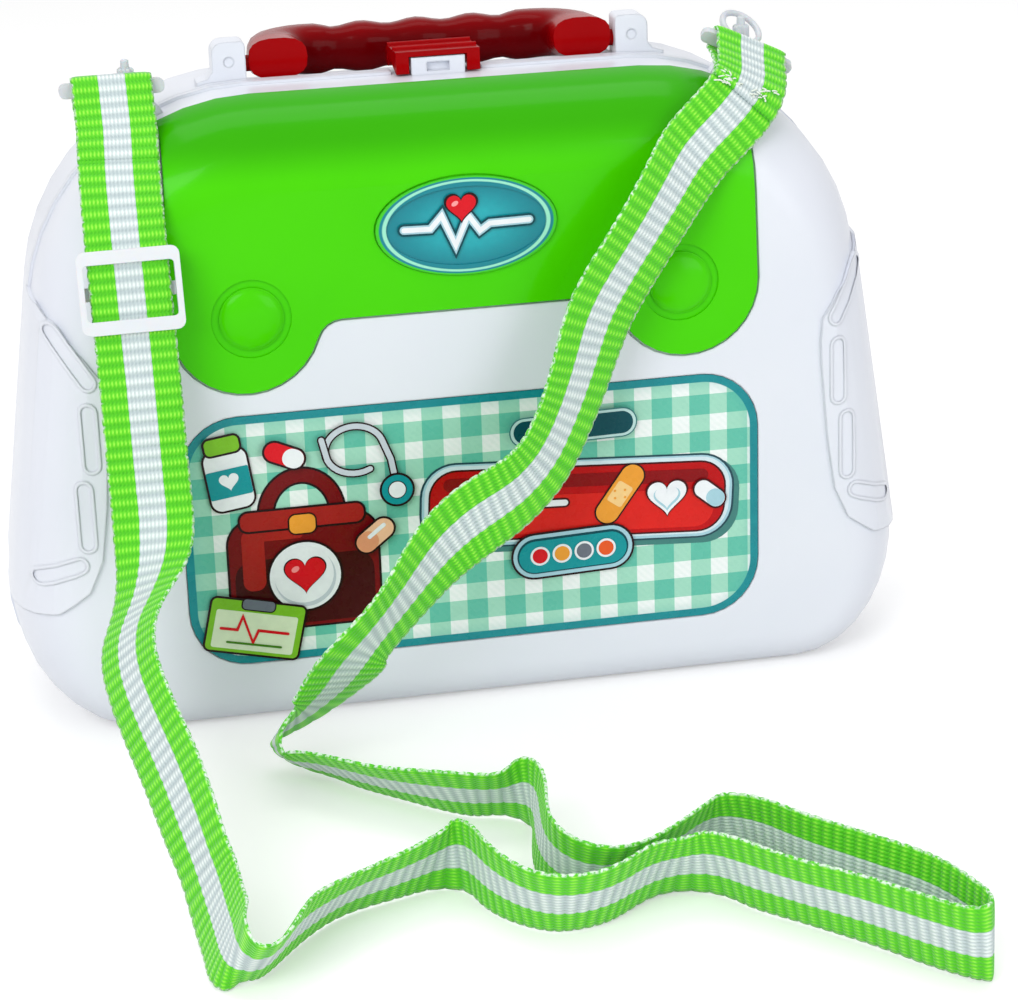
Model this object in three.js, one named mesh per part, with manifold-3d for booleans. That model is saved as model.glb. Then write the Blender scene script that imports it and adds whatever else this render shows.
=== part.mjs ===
// A play doctor case: two hinged shells, a flap, a latch, a carrying handle and a webbing strap.
// Millimetres, +Z up. The front faces -Y, the shells meet at y = 0 and the base stands on z = 0.
import * as THREE from 'three';
import { mergeVertices } from 'three/addons/utils/BufferGeometryUtils.js';
import Module from 'manifold-3d';

const wasm = await Module();
wasm.setup();

// Body
const case_height = 193;
const shell_depth = 43;
const top_arc_x = 59.5;
const top_arc_r = 70;
const top_arc_z = case_height - top_arc_r;
const base_arc_x = 104;
const base_arc_r = 38;
const wall = 2.6;
const part_gap = 0.15;
const rim_proud = 1;
const rim_thick = 2.4;
const front_inset_side = 22;
const front_inset_top = 24;
const front_round_side = 33;
const front_round_top = 25;
const rear_inset_side = 12;
const rear_inset_top = 14;
const inset_base = 12;
const over = 4;
const half_width = base_arc_x + base_arc_r;
const arc_steps_top = 10;
const arc_steps_base = 8;
const round_steps = 6;

// Joint clearances
const seat_gap = 0.3;
const pin_gap = 0.08;
const facets = 32;
const small_facets = 18;

// Grip pads and their raised outlines
const pad_proud = 1.3;
const slot_proud = 0.5;
const slot_line = 1;
const slot_half_width = 2.9;

// Front label
const label_half_width = 90;
const label_base_z = 21.3;
const label_drop = 91.8;
const label_top_z = case_height - label_drop;
const label_corner_r = 18;
const label_thick = 0.5;
const label_recess = 1;

// Flap
const flap_proud = 0.8;
const flap_skin = 0.9;
const flap_pocket = 1.2;
const flap_shoulder_half = 87.5;
const flap_waist_half = 89;
const flap_over_top = 9;
const flap_shoulder_drop = 3;
const flap_waist_drop = 28;
const lobe_r = 22.5;
const lobe_out = 1.9;
const lobe_down = 0.5;
const fillet_r = 8;
const fillet_down = 9.7;
const flap_side_gap = 0.8;
const flap_back_y = shell_depth - front_round_top;
const button_x = 65.6;
const button_drop = 61.5;
const button_z = case_height - button_drop;
const button_r = 9.7;
const button_ring_r = 12;
const button_groove = 0.8;
const button_dome = 2.2;
const badge_drop = 38;
const badge_z = case_height - badge_drop;
const badge_half_width = 27.5;
const badge_half_height = 15.1;
const badge_rim = 3.2;
const badge_thick = 1.2;
const badge_sink = 0.5;
const boss_r = 3.2;
const boss_long = 6;
const screw_r = 1.2;
const screw_head_r = 4.6;
const screw_head_thick = 1.6;
const screw_x = 74;
const screw_upper_x = 50;
const screw_lower_drop = 44;
const screw_upper_drop = 35;
const screw_lower_z = case_height - screw_lower_drop;
const screw_upper_z = case_height - screw_upper_drop;

// Bottom hinge
const hinge_z = 2.4;
const hinge_x = 60;
const hinge_groove_r = 5.1;
const hinge_wall_r = 7.6;
const hinge_groove_half = 121;
const knuckle_r = 2.3;
const knuckle_front_half = 4;
const knuckle_gap = 0.3;
const knuckle_end = 9;
const hinge_pin_r = 1;
const arm_half = 1;

// Catch and latch
const catch_half_width = 8.3;
const catch_front_y = -6.3;
const catch_back_y = -1;
const catch_rise = 5.4;
const catch_top_z = case_height + catch_rise;
const catch_slot_half = 3.5;
const catch_slot_foot = 1.1;
const catch_slot_high = 2.7;
const catch_slot_low_z = case_height + catch_slot_foot;
const catch_slot_high_z = catch_slot_low_z + catch_slot_high;
const catch_slot_deep = 2;
const latch_half_width = 13;
const latch_leg_inner = 9;
const latch_leg_back_y = -4.65;
const latch_leg_gap = 0.6;
const latch_rise = 7.4;
const latch_leg_low_z = case_height + latch_leg_gap;
const latch_top_front_z = case_height + latch_rise;
const latch_plate = 1.65;
const latch_axis_y = 10;
const latch_axis_rise = 3.5;
const latch_axis_z = case_height + latch_axis_rise;
const latch_barrel_r = 3.2;
const latch_ridge_r = 0.9;
const latch_pin_r = 0.9;
const latch_slot_in = 4.6;
const latch_slot_out = 8.4;
const lug_in = 5;
const lug_out = 8;
const lug_r = 2.3;
const rim_cut_half = 14;

// Handle, posts and well
const handle_axis_y = 8;
const handle_axis_rise = 4.6;
const handle_axis_z = case_height + handle_axis_rise;
const stub_r = 2.5;
const stub_end_x = 62;
const well_half_width = 57.3;
const well_front_y = 2.4;
const well_deep = 6.5;
const well_floor_z = case_height - well_deep;
const post_inner_x = 57.7;
const post_outer_x = 68;
const post_foot_x = 73;
const post_high = 12.4;
const post_top_z = case_height + post_high;
const post_corner_in = 1.5;
const post_corner_out = 3.5;
const post_front_y = 2.8;
const post_back_y = 11.2;
const post_mark_r = 1.6;
const post_mark_deep = 0.5;
const foot_inner_x = 38.4;
const foot_outer_x = 56.7;
const foot_front_y = 4.8;
const foot_drop = 0.1;
const foot_high = 12.4;
const foot_low_z = case_height - foot_drop;
const foot_top_z = foot_low_z + foot_high;
const grip_front_y = 24;
const grip_back_y = 39.2;
const grip_drop = 5;
const grip_high = 15.6;
const grip_low_z = case_height - grip_drop;
const grip_top_z = grip_low_z + grip_high;
const grip_bend_r = 15;
const bump_pitch = 17.7;
const bump_deep = 1.3;
const leg_mix_share = 0.45;
const section_power_share = 0.72;

// Strap pins, ears and clips
const pin_x = 95;
const pin_y = -8;
const ear_r = 11;
const ear_rise = 0.67;
const ear_z = top_arc_z + Math.sqrt(top_arc_r ** 2 - (pin_x - top_arc_x) ** 2) + ear_rise;
const ear_half = 2;
const strap_pin_r = 2.7;
const strap_pin_long = 6.7;
const strap_tip_long = 2.5;
const strap_pin_low_z = ear_z + ear_r + seat_gap;
const strap_pin_shoulder_z = strap_pin_low_z + strap_pin_long;
const strap_pin_top_z = strap_pin_shoulder_z + strap_tip_long;
const strap_tip_r = 1.5;
const strap_stem_r = 1.2;
const strap_stem_long = 5;
const ring_r = 6.4;
const ring_wire_r = 1;
const clip_bar_half = 15.5;
const clip_bar_thick = 2.2;
const clip_bar_high = 4.4;
const clip_reach = 10.6;
const clip_left_shift = -5;
const clip_right_shift = 1.5;
const clip_neck_half = 2.4;
const clip_neck_half_high = 1;
const clip_left_rise = 3.1;
const clip_right_rise = 5.7;
const clip_left_z = strap_pin_low_z + clip_left_rise;
const clip_right_z = strap_pin_low_z + clip_right_rise;
const clip_tilt = THREE.MathUtils.degToRad(30);
const clip_roll = THREE.MathUtils.degToRad(25);

// Webbing and slider
const strap_half_width = 12;
const strap_thick = 1.5;
const strap_rise = 193;
const loop_outer_r = 4.1;
const loop_inner_r = 2.7;
const loop_long = 14;
const loop_left_swing = THREE.MathUtils.degToRad(-42);
const loop_right_swing = THREE.MathUtils.degToRad(-96);
const loop_half_width = 11.9;
const loop_end_half = 1.5;
const slider_along = 49;
const slider_half_width = 15;
const slider_half_height = 12.2;
const slider_window_half_width = 13.2;
const slider_window_half_height = 8.2;
const slider_bar_half = 2;
const slider_bar_thick = 1.5;
const slider_gap = 0.7;
const slider_corner_r = 2.5;

// Contours in the X, Z plane: across as shares of the half width, up as shares of the case height
const pad_edge_shares = [
  [1.0563, 0.7047],
  [0.8979, 0.7047],
  [0.8556, 0.6684],
  [0.8169, 0.6373],
  [0.7817, 0.6010],
  [0.7761, 0.5648],
  [0.7782, 0.5233],
  [0.7923, 0.3990],
  [0.8099, 0.3109],
  [0.8415, 0.2591],
  [0.9085, 0.2228],
  [0.9789, 0.2124],
  [1.0563, 0.2073],
];
const slot_upper_shares = [
  [0.8782, 0.6736],
  [0.8127, 0.6010],
];
const slot_middle_shares = [
  [0.8169, 0.5544],
  [0.8169, 0.4689],
];
const slot_lower_shares = [
  [0.8380, 0.4301],
  [0.8380, 0.3404],
];
const slot_base_shares = [
  [0.8592, 0.3057],
  [0.9437, 0.2798],
];

// The webbing from the left loop to the right one: centre as shares of strap_rise, then the width direction
const strap_shares = [
  [-0.5181, -0.1482, 0.9704, 1.0000, -0.0034, -0.0035],
  [-0.5231, -0.2060, 0.9091, 0.9963, -0.0806, -0.0305],
  [-0.5244, -0.2432, 0.8497, 0.9991, -0.0372, 0.0184],
  [-0.5235, -0.2832, 0.7216, 0.9991, -0.0372, 0.0184],
  [-0.5226, -0.3248, 0.5887, 0.9991, -0.0372, 0.0184],
  [-0.5225, -0.3468, 0.4856, 0.9994, -0.0330, 0.0085],
  [-0.5228, -0.3768, 0.4113, 0.9908, -0.1277, 0.0452],
  [-0.5298, -0.4104, 0.3697, 0.8494, -0.4755, 0.2289],
  [-0.5495, -0.4587, 0.3376, 0.6906, -0.5621, 0.4551],
  [-0.5812, -0.5326, 0.3070, 0.6639, -0.4314, 0.6109],
  [-0.5857, -0.5926, 0.2765, 0.5780, -0.4268, 0.6956],
  [-0.5731, -0.6513, 0.2363, 0.5320, -0.3394, 0.7757],
  [-0.5477, -0.7419, 0.1778, 0.5557, -0.3505, 0.7539],
  [-0.5302, -0.8284, 0.1291, 0.5362, -0.3580, 0.7644],
  [-0.5184, -0.8728, 0.0901, 0.4905, -0.4873, 0.7224],
  [-0.5124, -0.9152, 0.0704, 0.5017, -0.1864, 0.8447],
  [-0.5084, -0.9915, 0.0594, 0.4612, 0.0182, 0.8871],
  [-0.5059, -1.0828, 0.0637, 0.3166, 0.0896, 0.9443],
  [-0.5044, -1.1000, 0.0666, 0.0590, 0.1296, 0.9898],
  [-0.5025, -1.1061, 0.0647, -0.0178, -0.7652, 0.6436],
  [-0.4988, -1.1106, 0.0573, -0.0230, -0.8078, 0.5890],
  [-0.4872, -1.1147, 0.0517, 0.0973, -0.7392, 0.6664],
  [-0.4704, -1.1123, 0.0503, 0.2477, -0.6882, 0.6819],
  [-0.4527, -1.0957, 0.0558, 0.3603, -0.4964, 0.7898],
  [-0.4285, -1.0546, 0.0597, 0.4289, -0.1905, 0.8830],
  [-0.3741, -0.9878, 0.0578, 0.3753, -0.3674, 0.8510],
  [-0.3173, -0.9386, 0.0557, 0.3160, -0.4869, 0.8143],
  [-0.2400, -0.9071, 0.0588, 0.1404, -0.4814, 0.8652],
  [-0.1841, -0.8779, 0.0620, 0.1964, -0.3324, 0.9225],
  [-0.1703, -0.8722, 0.0627, -0.0886, -0.4296, 0.8987],
  [-0.1621, -0.8758, 0.0640, -0.3555, -0.0699, 0.9320],
  [-0.1539, -0.8914, 0.0663, -0.1407, -0.0083, 0.9900],
  [-0.1371, -0.9599, 0.0665, -0.1171, -0.0563, 0.9915],
  [-0.1058, -1.0215, 0.0642, -0.2107, -0.2174, 0.9531],
  [-0.0691, -1.0576, 0.0613, -0.1668, -0.3948, 0.9035],
  [-0.0351, -1.0635, 0.0604, 0.0223, -0.4508, 0.8923],
  [0.0202, -1.0518, 0.0618, 0.1486, -0.3772, 0.9141],
  [0.0724, -1.0118, 0.0630, 0.2535, -0.2356, 0.9382],
  [0.1057, -0.9907, 0.0603, 0.1693, -0.4332, 0.8852],
  [0.1526, -0.9849, 0.0606, -0.0658, -0.4482, 0.8915],
  [0.1747, -0.9928, 0.0624, -0.3067, -0.2375, 0.9217],
  [0.2000, -1.0298, 0.0649, -0.2262, -0.1186, 0.9668],
  [0.2557, -1.0977, 0.0642, -0.2324, -0.1930, 0.9533],
  [0.3403, -1.1917, 0.0650, -0.1970, -0.1718, 0.9652],
  [0.4085, -1.2785, 0.0655, -0.1746, -0.1441, 0.9740],
  [0.4568, -1.3273, 0.0650, -0.1402, -0.1972, 0.9703],
  [0.4693, -1.3336, 0.0654, -0.1211, -0.1933, 0.9736],
  [0.4755, -1.3318, 0.0662, -0.0201, -0.1527, 0.9881],
  [0.4770, -1.3233, 0.0669, -0.0121, -0.0417, 0.9991],
  [0.4668, -1.2721, 0.0671, 0.0125, 0.0041, 0.9999],
  [0.4362, -1.1842, 0.0669, 0.0574, 0.0335, 0.9978],
  [0.3762, -1.1013, 0.0670, 0.0525, 0.0379, 0.9979],
  [0.3092, -1.0095, 0.0671, -0.0424, -0.0229, 0.9988],
  [0.2566, -0.9203, 0.0659, -0.1718, -0.0665, 0.9829],
  [0.2266, -0.8862, 0.0628, -0.2809, -0.2366, 0.9301],
  [0.2082, -0.8802, 0.0611, -0.0261, -0.4505, 0.8924],
  [0.1854, -0.8886, 0.0612, 0.2527, -0.3412, 0.9054],
  [0.1479, -0.9236, 0.0610, 0.2426, -0.3561, 0.9024],
  [0.0832, -0.9617, 0.0578, 0.2002, -0.4870, 0.8501],
  [0.0205, -0.9832, 0.0586, 0.0886, -0.5090, 0.8562],
  [-0.0050, -0.9774, 0.0614, -0.0999, -0.4241, 0.9001],
  [-0.0256, -0.9552, 0.0654, -0.1445, -0.1712, 0.9746],
  [-0.0382, -0.9105, 0.0671, 0.0173, 0.0004, 0.9998],
  [-0.0334, -0.8311, 0.0663, 0.1643, -0.0294, 0.9860],
  [-0.0211, -0.7424, 0.0670, 0.0448, 0.0029, 0.9990],
  [-0.0245, -0.7082, 0.0660, -0.1710, 0.0977, 0.9804],
  [-0.0291, -0.6992, 0.0620, -0.5606, -0.0318, 0.8275],
  [-0.0400, -0.6948, 0.0590, -0.2179, -0.4945, 0.8414],
  [-0.0885, -0.6882, 0.0563, -0.1510, -0.5454, 0.8244],
  [-0.1353, -0.6636, 0.0554, -0.3795, -0.4323, 0.8180],
  [-0.2206, -0.5910, 0.0503, -0.4751, -0.4906, 0.7305],
  [-0.2978, -0.5112, 0.0481, -0.5533, -0.4602, 0.6943],
  [-0.3277, -0.4768, 0.0439, -0.6379, -0.4898, 0.5943],
  [-0.3423, -0.4685, 0.0418, -0.1926, -0.8180, 0.5420],
  [-0.3605, -0.4648, 0.0499, 0.0947, -0.9227, 0.3737],
  [-0.3744, -0.4600, 0.0662, -0.0202, -0.9518, 0.3060],
  [-0.3750, -0.4547, 0.0801, -0.1093, -0.8802, 0.4618],
  [-0.3663, -0.4483, 0.0894, 0.1067, -0.7635, 0.6369],
  [-0.3397, -0.4365, 0.0943, 0.1508, -0.7222, 0.6750],
  [-0.3161, -0.4288, 0.1052, -0.2901, -0.7601, 0.5814],
  [-0.2991, -0.4312, 0.1201, -0.6932, -0.6435, 0.3246],
  [-0.2749, -0.4564, 0.1532, -0.8847, -0.4268, 0.1877],
  [-0.2480, -0.4971, 0.2093, -0.9181, -0.3053, 0.2526],
  [-0.2371, -0.5049, 0.2263, -0.6412, -0.5871, 0.4942],
  [-0.2184, -0.4985, 0.2431, -0.3519, -0.4949, 0.7945],
  [-0.1550, -0.4678, 0.2993, -0.4440, -0.4694, 0.7632],
  [-0.0911, -0.4356, 0.3571, -0.5244, -0.2109, 0.8249],
  [-0.0359, -0.4105, 0.3872, -0.3324, 0.0239, 0.9428],
  [0.0413, -0.3790, 0.4182, -0.3952, -0.2055, 0.8953],
  [0.0849, -0.3599, 0.4523, -0.6276, -0.3566, 0.6921],
  [0.1246, -0.3383, 0.5129, -0.7368, -0.4288, 0.5227],
  [0.1543, -0.3270, 0.5804, -0.8553, -0.4125, 0.3136],
  [0.1896, -0.3134, 0.6706, -0.8464, -0.2892, 0.4472],
  [0.2334, -0.3047, 0.7359, -0.7231, -0.2728, 0.6347],
  [0.2777, -0.2992, 0.7990, -0.7606, -0.2742, 0.5885],
  [0.3209, -0.2771, 0.8541, -0.7042, -0.1547, 0.6929],
  [0.3560, -0.2443, 0.8896, -0.6735, 0.0569, 0.7370],
  [0.4083, -0.2206, 0.9288, -0.6169, 0.1250, 0.7770],
  [0.4591, -0.1891, 0.9673, -0.7482, 0.1824, 0.6379],
  [0.4744, -0.1598, 0.9847, -0.9013, 0.0233, 0.4326],
];

const colours = {
  shell: { color: 0xeef2f8, roughness: 0.35, metalness: 0 },
  lime: { color: 0x40c800, roughness: 0.3, metalness: 0 },
  red: { color: 0xc8000a, roughness: 0.3, metalness: 0 },
  teal: { color: 0x0a8c96, roughness: 0.4, metalness: 0 },
  label: { color: 0xa0d2be, roughness: 0.4, metalness: 0 },
  webbing: { color: 0x5ed81e, roughness: 0.8, metalness: 0 },
  clip: { color: 0xe6ebf0, roughness: 0.4, metalness: 0 },
  steel: { color: 0xb0b4b8, roughness: 0.3, metalness: 1 },
};

const group = new THREE.Group();
group.name = 'toy_doctor_case';

// Closed solids from triangles, whichever way their faces turn
function solid(geometry) {
  const plain = geometry.index ? geometry.toNonIndexed() : geometry.clone();
  for (const name of Object.keys(plain.attributes)) {
    if (name !== 'position') plain.deleteAttribute(name);
  }
  const merged = mergeVertices(plain, 1e-4);
  const vertProperties = new Float32Array(merged.attributes.position.array);
  const triVerts = new Uint32Array(merged.index.array);
  const at = (i) => new THREE.Vector3().fromArray(vertProperties, 3 * i);
  let volume = 0;
  for (let i = 0; i < triVerts.length; i += 3) {
    volume += at(triVerts[i]).dot(at(triVerts[i + 1]).cross(at(triVerts[i + 2])));
  }
  if (volume < 0) {
    for (let i = 0; i < triVerts.length; i += 3) {
      const held = triVerts[i + 1];
      triVerts[i + 1] = triVerts[i + 2];
      triVerts[i + 2] = held;
    }
  }
  return new wasm.Manifold(new wasm.Mesh({ numProp: 3, vertProperties, triVerts }));
}

function addNode(name, shape, look) {
  const mesh = shape.getMesh();
  const geometry = new THREE.BufferGeometry();
  geometry.setAttribute('position', new THREE.BufferAttribute(new Float32Array(mesh.vertProperties), 3));
  geometry.setIndex(new THREE.BufferAttribute(new Uint32Array(mesh.triVerts), 1));
  geometry.computeVertexNormals();
  const node = new THREE.Mesh(geometry, new THREE.MeshStandardMaterial({ ...look }));
  node.name = name;
  group.add(node);
}

function box(x0, x1, y0, y1, z0, z1) {
  const geometry = new THREE.BoxGeometry(x1 - x0, y1 - y0, z1 - z0);
  geometry.translate((x0 + x1) / 2, (y0 + y1) / 2, (z0 + z1) / 2);
  return solid(geometry);
}

function mirrorBox(x0, x1, y0, y1, z0, z1) {
  return box(x0, x1, y0, y1, z0, z1).add(box(-x1, -x0, y0, y1, z0, z1));
}

function cylinderX(r, x0, x1, y, z, count = facets) {
  const geometry = new THREE.CylinderGeometry(r, r, x1 - x0, count);
  geometry.rotateZ(Math.PI / 2);
  geometry.translate((x0 + x1) / 2, y, z);
  return solid(geometry);
}

function cylinderY(r, y0, y1, x, z, count = facets) {
  const geometry = new THREE.CylinderGeometry(r, r, y1 - y0, count);
  geometry.translate(x, (y0 + y1) / 2, z);
  return solid(geometry);
}

function cylinderZ(r, z0, z1, x, y, count = facets) {
  const geometry = new THREE.CylinderGeometry(r, r, z1 - z0, count);
  geometry.rotateX(Math.PI / 2);
  geometry.translate(x, y, (z0 + z1) / 2);
  return solid(geometry);
}

function shapeOf(points) {
  return new THREE.Shape(points.map(([a, b]) => new THREE.Vector2(a, b)));
}

// A contour in X, Z carried along Y
function prismY(points, y0, y1) {
  const geometry = new THREE.ExtrudeGeometry(shapeOf(points), { depth: y1 - y0, bevelEnabled: false });
  geometry.rotateX(Math.PI / 2);
  geometry.translate(0, y1, 0);
  return solid(geometry);
}

// A contour in Y, Z carried along X
function prismX(points, x0, x1) {
  const geometry = new THREE.ExtrudeGeometry(shapeOf(points), { depth: x1 - x0, bevelEnabled: false });
  geometry.applyMatrix4(new THREE.Matrix4().makeBasis(
    new THREE.Vector3(0, 1, 0), new THREE.Vector3(0, 0, 1), new THREE.Vector3(1, 0, 0)));
  geometry.translate(x0, 0, 0);
  return solid(geometry);
}

function arcPoints(cx, cz, r, from, to, steps) {
  const points = [];
  for (let i = 0; i <= steps; i += 1) {
    const a = from + (to - from) * i / steps;
    points.push([cx + r * Math.cos(a), cz + r * Math.sin(a)]);
  }
  return points;
}

function roundedRect(x0, x1, z0, z1, r, steps) {
  return [
    ...arcPoints(x1 - r, z0 + r, r, -Math.PI / 2, 0, steps),
    ...arcPoints(x1 - r, z1 - r, r, 0, Math.PI / 2, steps),
    ...arcPoints(x0 + r, z1 - r, r, Math.PI / 2, Math.PI, steps),
    ...arcPoints(x0 + r, z0 + r, r, Math.PI, 1.5 * Math.PI, steps),
  ];
}

function mirrored(shape) {
  return shape.mirror([1, 0, 0]);
}

// The case outline: a hull of two large upper arcs and two smaller lower ones
const spanX = base_arc_x - top_arc_x;
const spanZ = base_arc_r - top_arc_z;
const sideAngle = Math.atan2(spanZ, spanX) + Math.acos((top_arc_r - base_arc_r) / Math.hypot(spanX, spanZ));
const outline = [];
for (let i = 0; i <= arc_steps_base; i += 1) {
  const a = -Math.PI / 2 + (sideAngle + Math.PI / 2) * i / arc_steps_base;
  outline.push([base_arc_x, base_arc_r, base_arc_r, a]);
}
for (let i = 0; i <= arc_steps_top; i += 1) {
  const a = sideAngle + (Math.PI / 2 - sideAngle) * i / arc_steps_top;
  outline.push([top_arc_x, top_arc_z, top_arc_r, a]);
}
for (const [x, z, r, a] of [...outline].reverse()) outline.push([-x, z, r, Math.PI - a]);

// Stacked rings of the outline, closed by a fan at each end; side is -1 for the front and 1 for the rear
function stack(rings, side) {
  const positions = [];
  const index = [];
  const count = outline.length;
  for (const ring of rings) {
    for (const [x, z, depth] of ring) positions.push(x, side * depth, z);
  }
  for (let k = 0; k + 1 < rings.length; k += 1) {
    for (let i = 0; i < count; i += 1) {
      const a = k * count + i;
      const b = k * count + (i + 1) % count;
      index.push(a, b, a + count, b, b + count, a + count);
    }
  }
  const first = positions.length / 3;
  positions.push(0, side * rings[0][0][2], case_height / 2);
  positions.push(0, side * rings[rings.length - 1][0][2], case_height / 2);
  for (let i = 0; i < count; i += 1) {
    const last = (rings.length - 1) * count;
    index.push(first, (i + 1) % count, i);
    index.push(first + 1, last + i, last + (i + 1) % count);
  }
  const geometry = new THREE.BufferGeometry();
  geometry.setAttribute('position', new THREE.BufferAttribute(new Float32Array(positions), 3));
  geometry.setIndex(index);
  return solid(geometry);
}

const rounds = {
  '-1': { insetSide: front_inset_side, insetTop: front_inset_top, side: front_round_side, top: front_round_top },
  1: { insetSide: rear_inset_side, insetTop: rear_inset_top, side: rear_inset_side, top: rear_inset_top },
};

// One half of the case, grown outward by grow, from the depth start to the face
function form(side, grow, start) {
  const kind = rounds[side];
  const rings = [];
  const ringAt = (turn, depthOf) => outline.map(([cx, cz, r, a]) => {
    const nx = Math.cos(a);
    const nz = Math.sin(a);
    const inset = kind.insetSide * nx * nx + (nz > 0 ? kind.insetTop : inset_base) * nz * nz;
    const round = kind.side * nx * nx + (nz > 0 ? kind.top : inset_base) * nz * nz;
    const reach = r - inset + (inset + grow) * Math.cos(turn);
    return [cx + reach * nx, cz + reach * nz, depthOf(round, turn)];
  });
  rings.push(ringAt(0, () => start));
  for (let j = 0; j <= round_steps; j += 1) {
    const turn = Math.PI / 2 * j / round_steps;
    rings.push(ringAt(turn, (round, t) => shell_depth - round + (round + grow) * Math.sin(t)));
  }
  return stack(rings, side);
}

function slab(side, grow, from, to) {
  const ring = (depth) => outline.map(([cx, cz, r, a]) => [
    cx + (r + grow) * Math.cos(a), cz + (r + grow) * Math.sin(a), depth]);
  return stack([ring(from), ring(to)], side);
}

function halfShell(side) {
  const rimCut = box(-hinge_groove_half, hinge_groove_half, -over, over, -over, 0);
  const body = form(side, 0, part_gap).add(slab(side, rim_proud, part_gap, part_gap + rim_thick).subtract(rimCut));
  let shell = body.subtract(form(side, -wall, -over));
  const tube = cylinderX(hinge_wall_r, -hinge_groove_half, hinge_groove_half, 0, hinge_z);
  const keep = side < 0
    ? box(-base_arc_x * 2, base_arc_x * 2, -hinge_wall_r - over, -part_gap, 0, hinge_wall_r + hinge_z + over)
    : box(-base_arc_x * 2, base_arc_x * 2, part_gap, hinge_wall_r + over, 0, hinge_wall_r + hinge_z + over);
  shell = shell.add(tube.intersect(keep));
  return shell.subtract(cylinderX(hinge_groove_r, -hinge_groove_half, hinge_groove_half, 0, hinge_z));
}

function scaled(rows) {
  return rows.map(([x, z]) => [x * half_width, z * case_height]);
}

// Front shell
const pad = scaled(pad_edge_shares);
const padSkin = form(-1, pad_proud, part_gap).subtract(form(-1, -wall / 2, part_gap + over / 2 - over));
const padRight = prismY(pad, -shell_depth - over, -part_gap).intersect(padSkin);
let front = halfShell(-1).add(padRight).add(mirrored(padRight));

function capsule([a, b], grow) {
  const r = slot_half_width + grow;
  const angle = Math.atan2(b[1] - a[1], b[0] - a[0]);
  return [
    ...arcPoints(b[0], b[1], r, angle - Math.PI / 2, angle + Math.PI / 2, 6),
    ...arcPoints(a[0], a[1], r, angle + Math.PI / 2, angle + 1.5 * Math.PI, 6),
  ];
}
const slotSkin = form(-1, pad_proud + slot_proud, part_gap).subtract(form(-1, 0, part_gap - over));
for (const shares of [slot_upper_shares, slot_middle_shares, slot_lower_shares, slot_base_shares]) {
  const ends = scaled(shares);
  const outer = prismY(capsule(ends, 0), -shell_depth - over, -over);
  const line = outer.subtract(prismY(capsule(ends, -slot_line), -shell_depth - 2 * over, 0)).intersect(slotSkin);
  front = front.add(line).add(mirrored(line));
}

// Label recess and label
const labelFace = shell_depth;
front = front.subtract(prismY(
  roundedRect(-label_half_width - seat_gap, label_half_width + seat_gap, label_base_z - seat_gap,
    label_top_z + seat_gap, label_corner_r + seat_gap, 8),
  -labelFace - over, -labelFace + label_recess));
const labelBack = labelFace - label_recess + seat_gap;
const label = prismY(
  roundedRect(-label_half_width, label_half_width, label_base_z, label_top_z, label_corner_r, 8),
  -labelBack - label_thick, -labelBack);

// Flap contour: straight flanks, two round lobes and fillets into the lower edge
function flapContour(grow) {
  const lx = button_x + lobe_out;
  const lz = button_z - lobe_down;
  const fz = lz - fillet_down;
  const joinX = lx - Math.sqrt((lobe_r + fillet_r) ** 2 - fillet_down ** 2);
  const turn = Math.atan2(-fillet_down, joinX - lx);
  const flank = [
    [flap_shoulder_half, case_height + flap_over_top],
    [flap_shoulder_half, case_height - flap_shoulder_drop],
    [flap_waist_half, case_height - flap_waist_drop],
    [lx + lobe_r, lz],
  ];
  const right = [
    ...flank.map(([x, z]) => [x + grow, z]),
    ...arcPoints(lx, lz, lobe_r + grow, 0, turn, 14).slice(1),
    ...arcPoints(joinX, fz, fillet_r - grow, turn + Math.PI, Math.PI / 2, 4),
  ];
  return [...right, ...[...right].reverse().map(([x, z]) => [-x, z])];
}
const flapSkin = form(-1, flap_proud, flap_back_y).subtract(form(-1, -flap_skin, flap_back_y - over));
let flap = prismY(flapContour(0), -shell_depth - over, -flap_back_y - seat_gap).intersect(flapSkin);
const pocketSkin = form(-1, flap_proud + over, 0).subtract(form(-1, -flap_pocket, -over));
front = front.subtract(prismY(flapContour(flap_side_gap), -shell_depth - 2 * over, -flap_back_y).intersect(pocketSkin));

// Domed buttons in ring grooves on the flap
const flapFace = shell_depth + flap_proud;
for (const side of [-1, 1]) {
  const x = side * button_x;
  const groove = cylinderY(button_ring_r, -flapFace - over, -flapFace + button_groove, x, button_z)
    .subtract(cylinderY(button_r, -flapFace - 2 * over, -flapFace + over, x, button_z));
  const profile = [[0, 0], [button_r, 0]];
  for (let i = 1; i <= 5; i += 1) {
    const a = Math.PI / 2 * i / 5;
    profile.push([button_r * Math.cos(a), button_dome * Math.sin(a)]);
  }
  const dome = new THREE.LatheGeometry(profile.map(([r, h]) => new THREE.Vector2(r, h)), facets);
  dome.rotateX(Math.PI);
  dome.translate(x, -flapFace + flap_skin / 2, button_z);
  flap = flap.subtract(groove).add(solid(dome));
}

// Oval badge with a raised rim, let into the flap
function oval(growth) {
  const points = [];
  for (let i = 0; i < 48; i += 1) {
    const a = 2 * Math.PI * i / 48;
    points.push([(badge_half_width + growth) * Math.cos(a), badge_z + (badge_half_height + growth) * Math.sin(a)]);
  }
  return points;
}
flap = flap.subtract(prismY(oval(seat_gap), -flapFace - over, -flapFace + badge_sink));
const badgeBack = flapFace - badge_sink + seat_gap;
const badge = prismY(oval(0), -badgeBack - badge_thick, -badgeBack)
  .subtract(prismY(oval(-badge_rim), -badgeBack - badge_thick - over, -badgeBack - badge_thick / 2));

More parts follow.
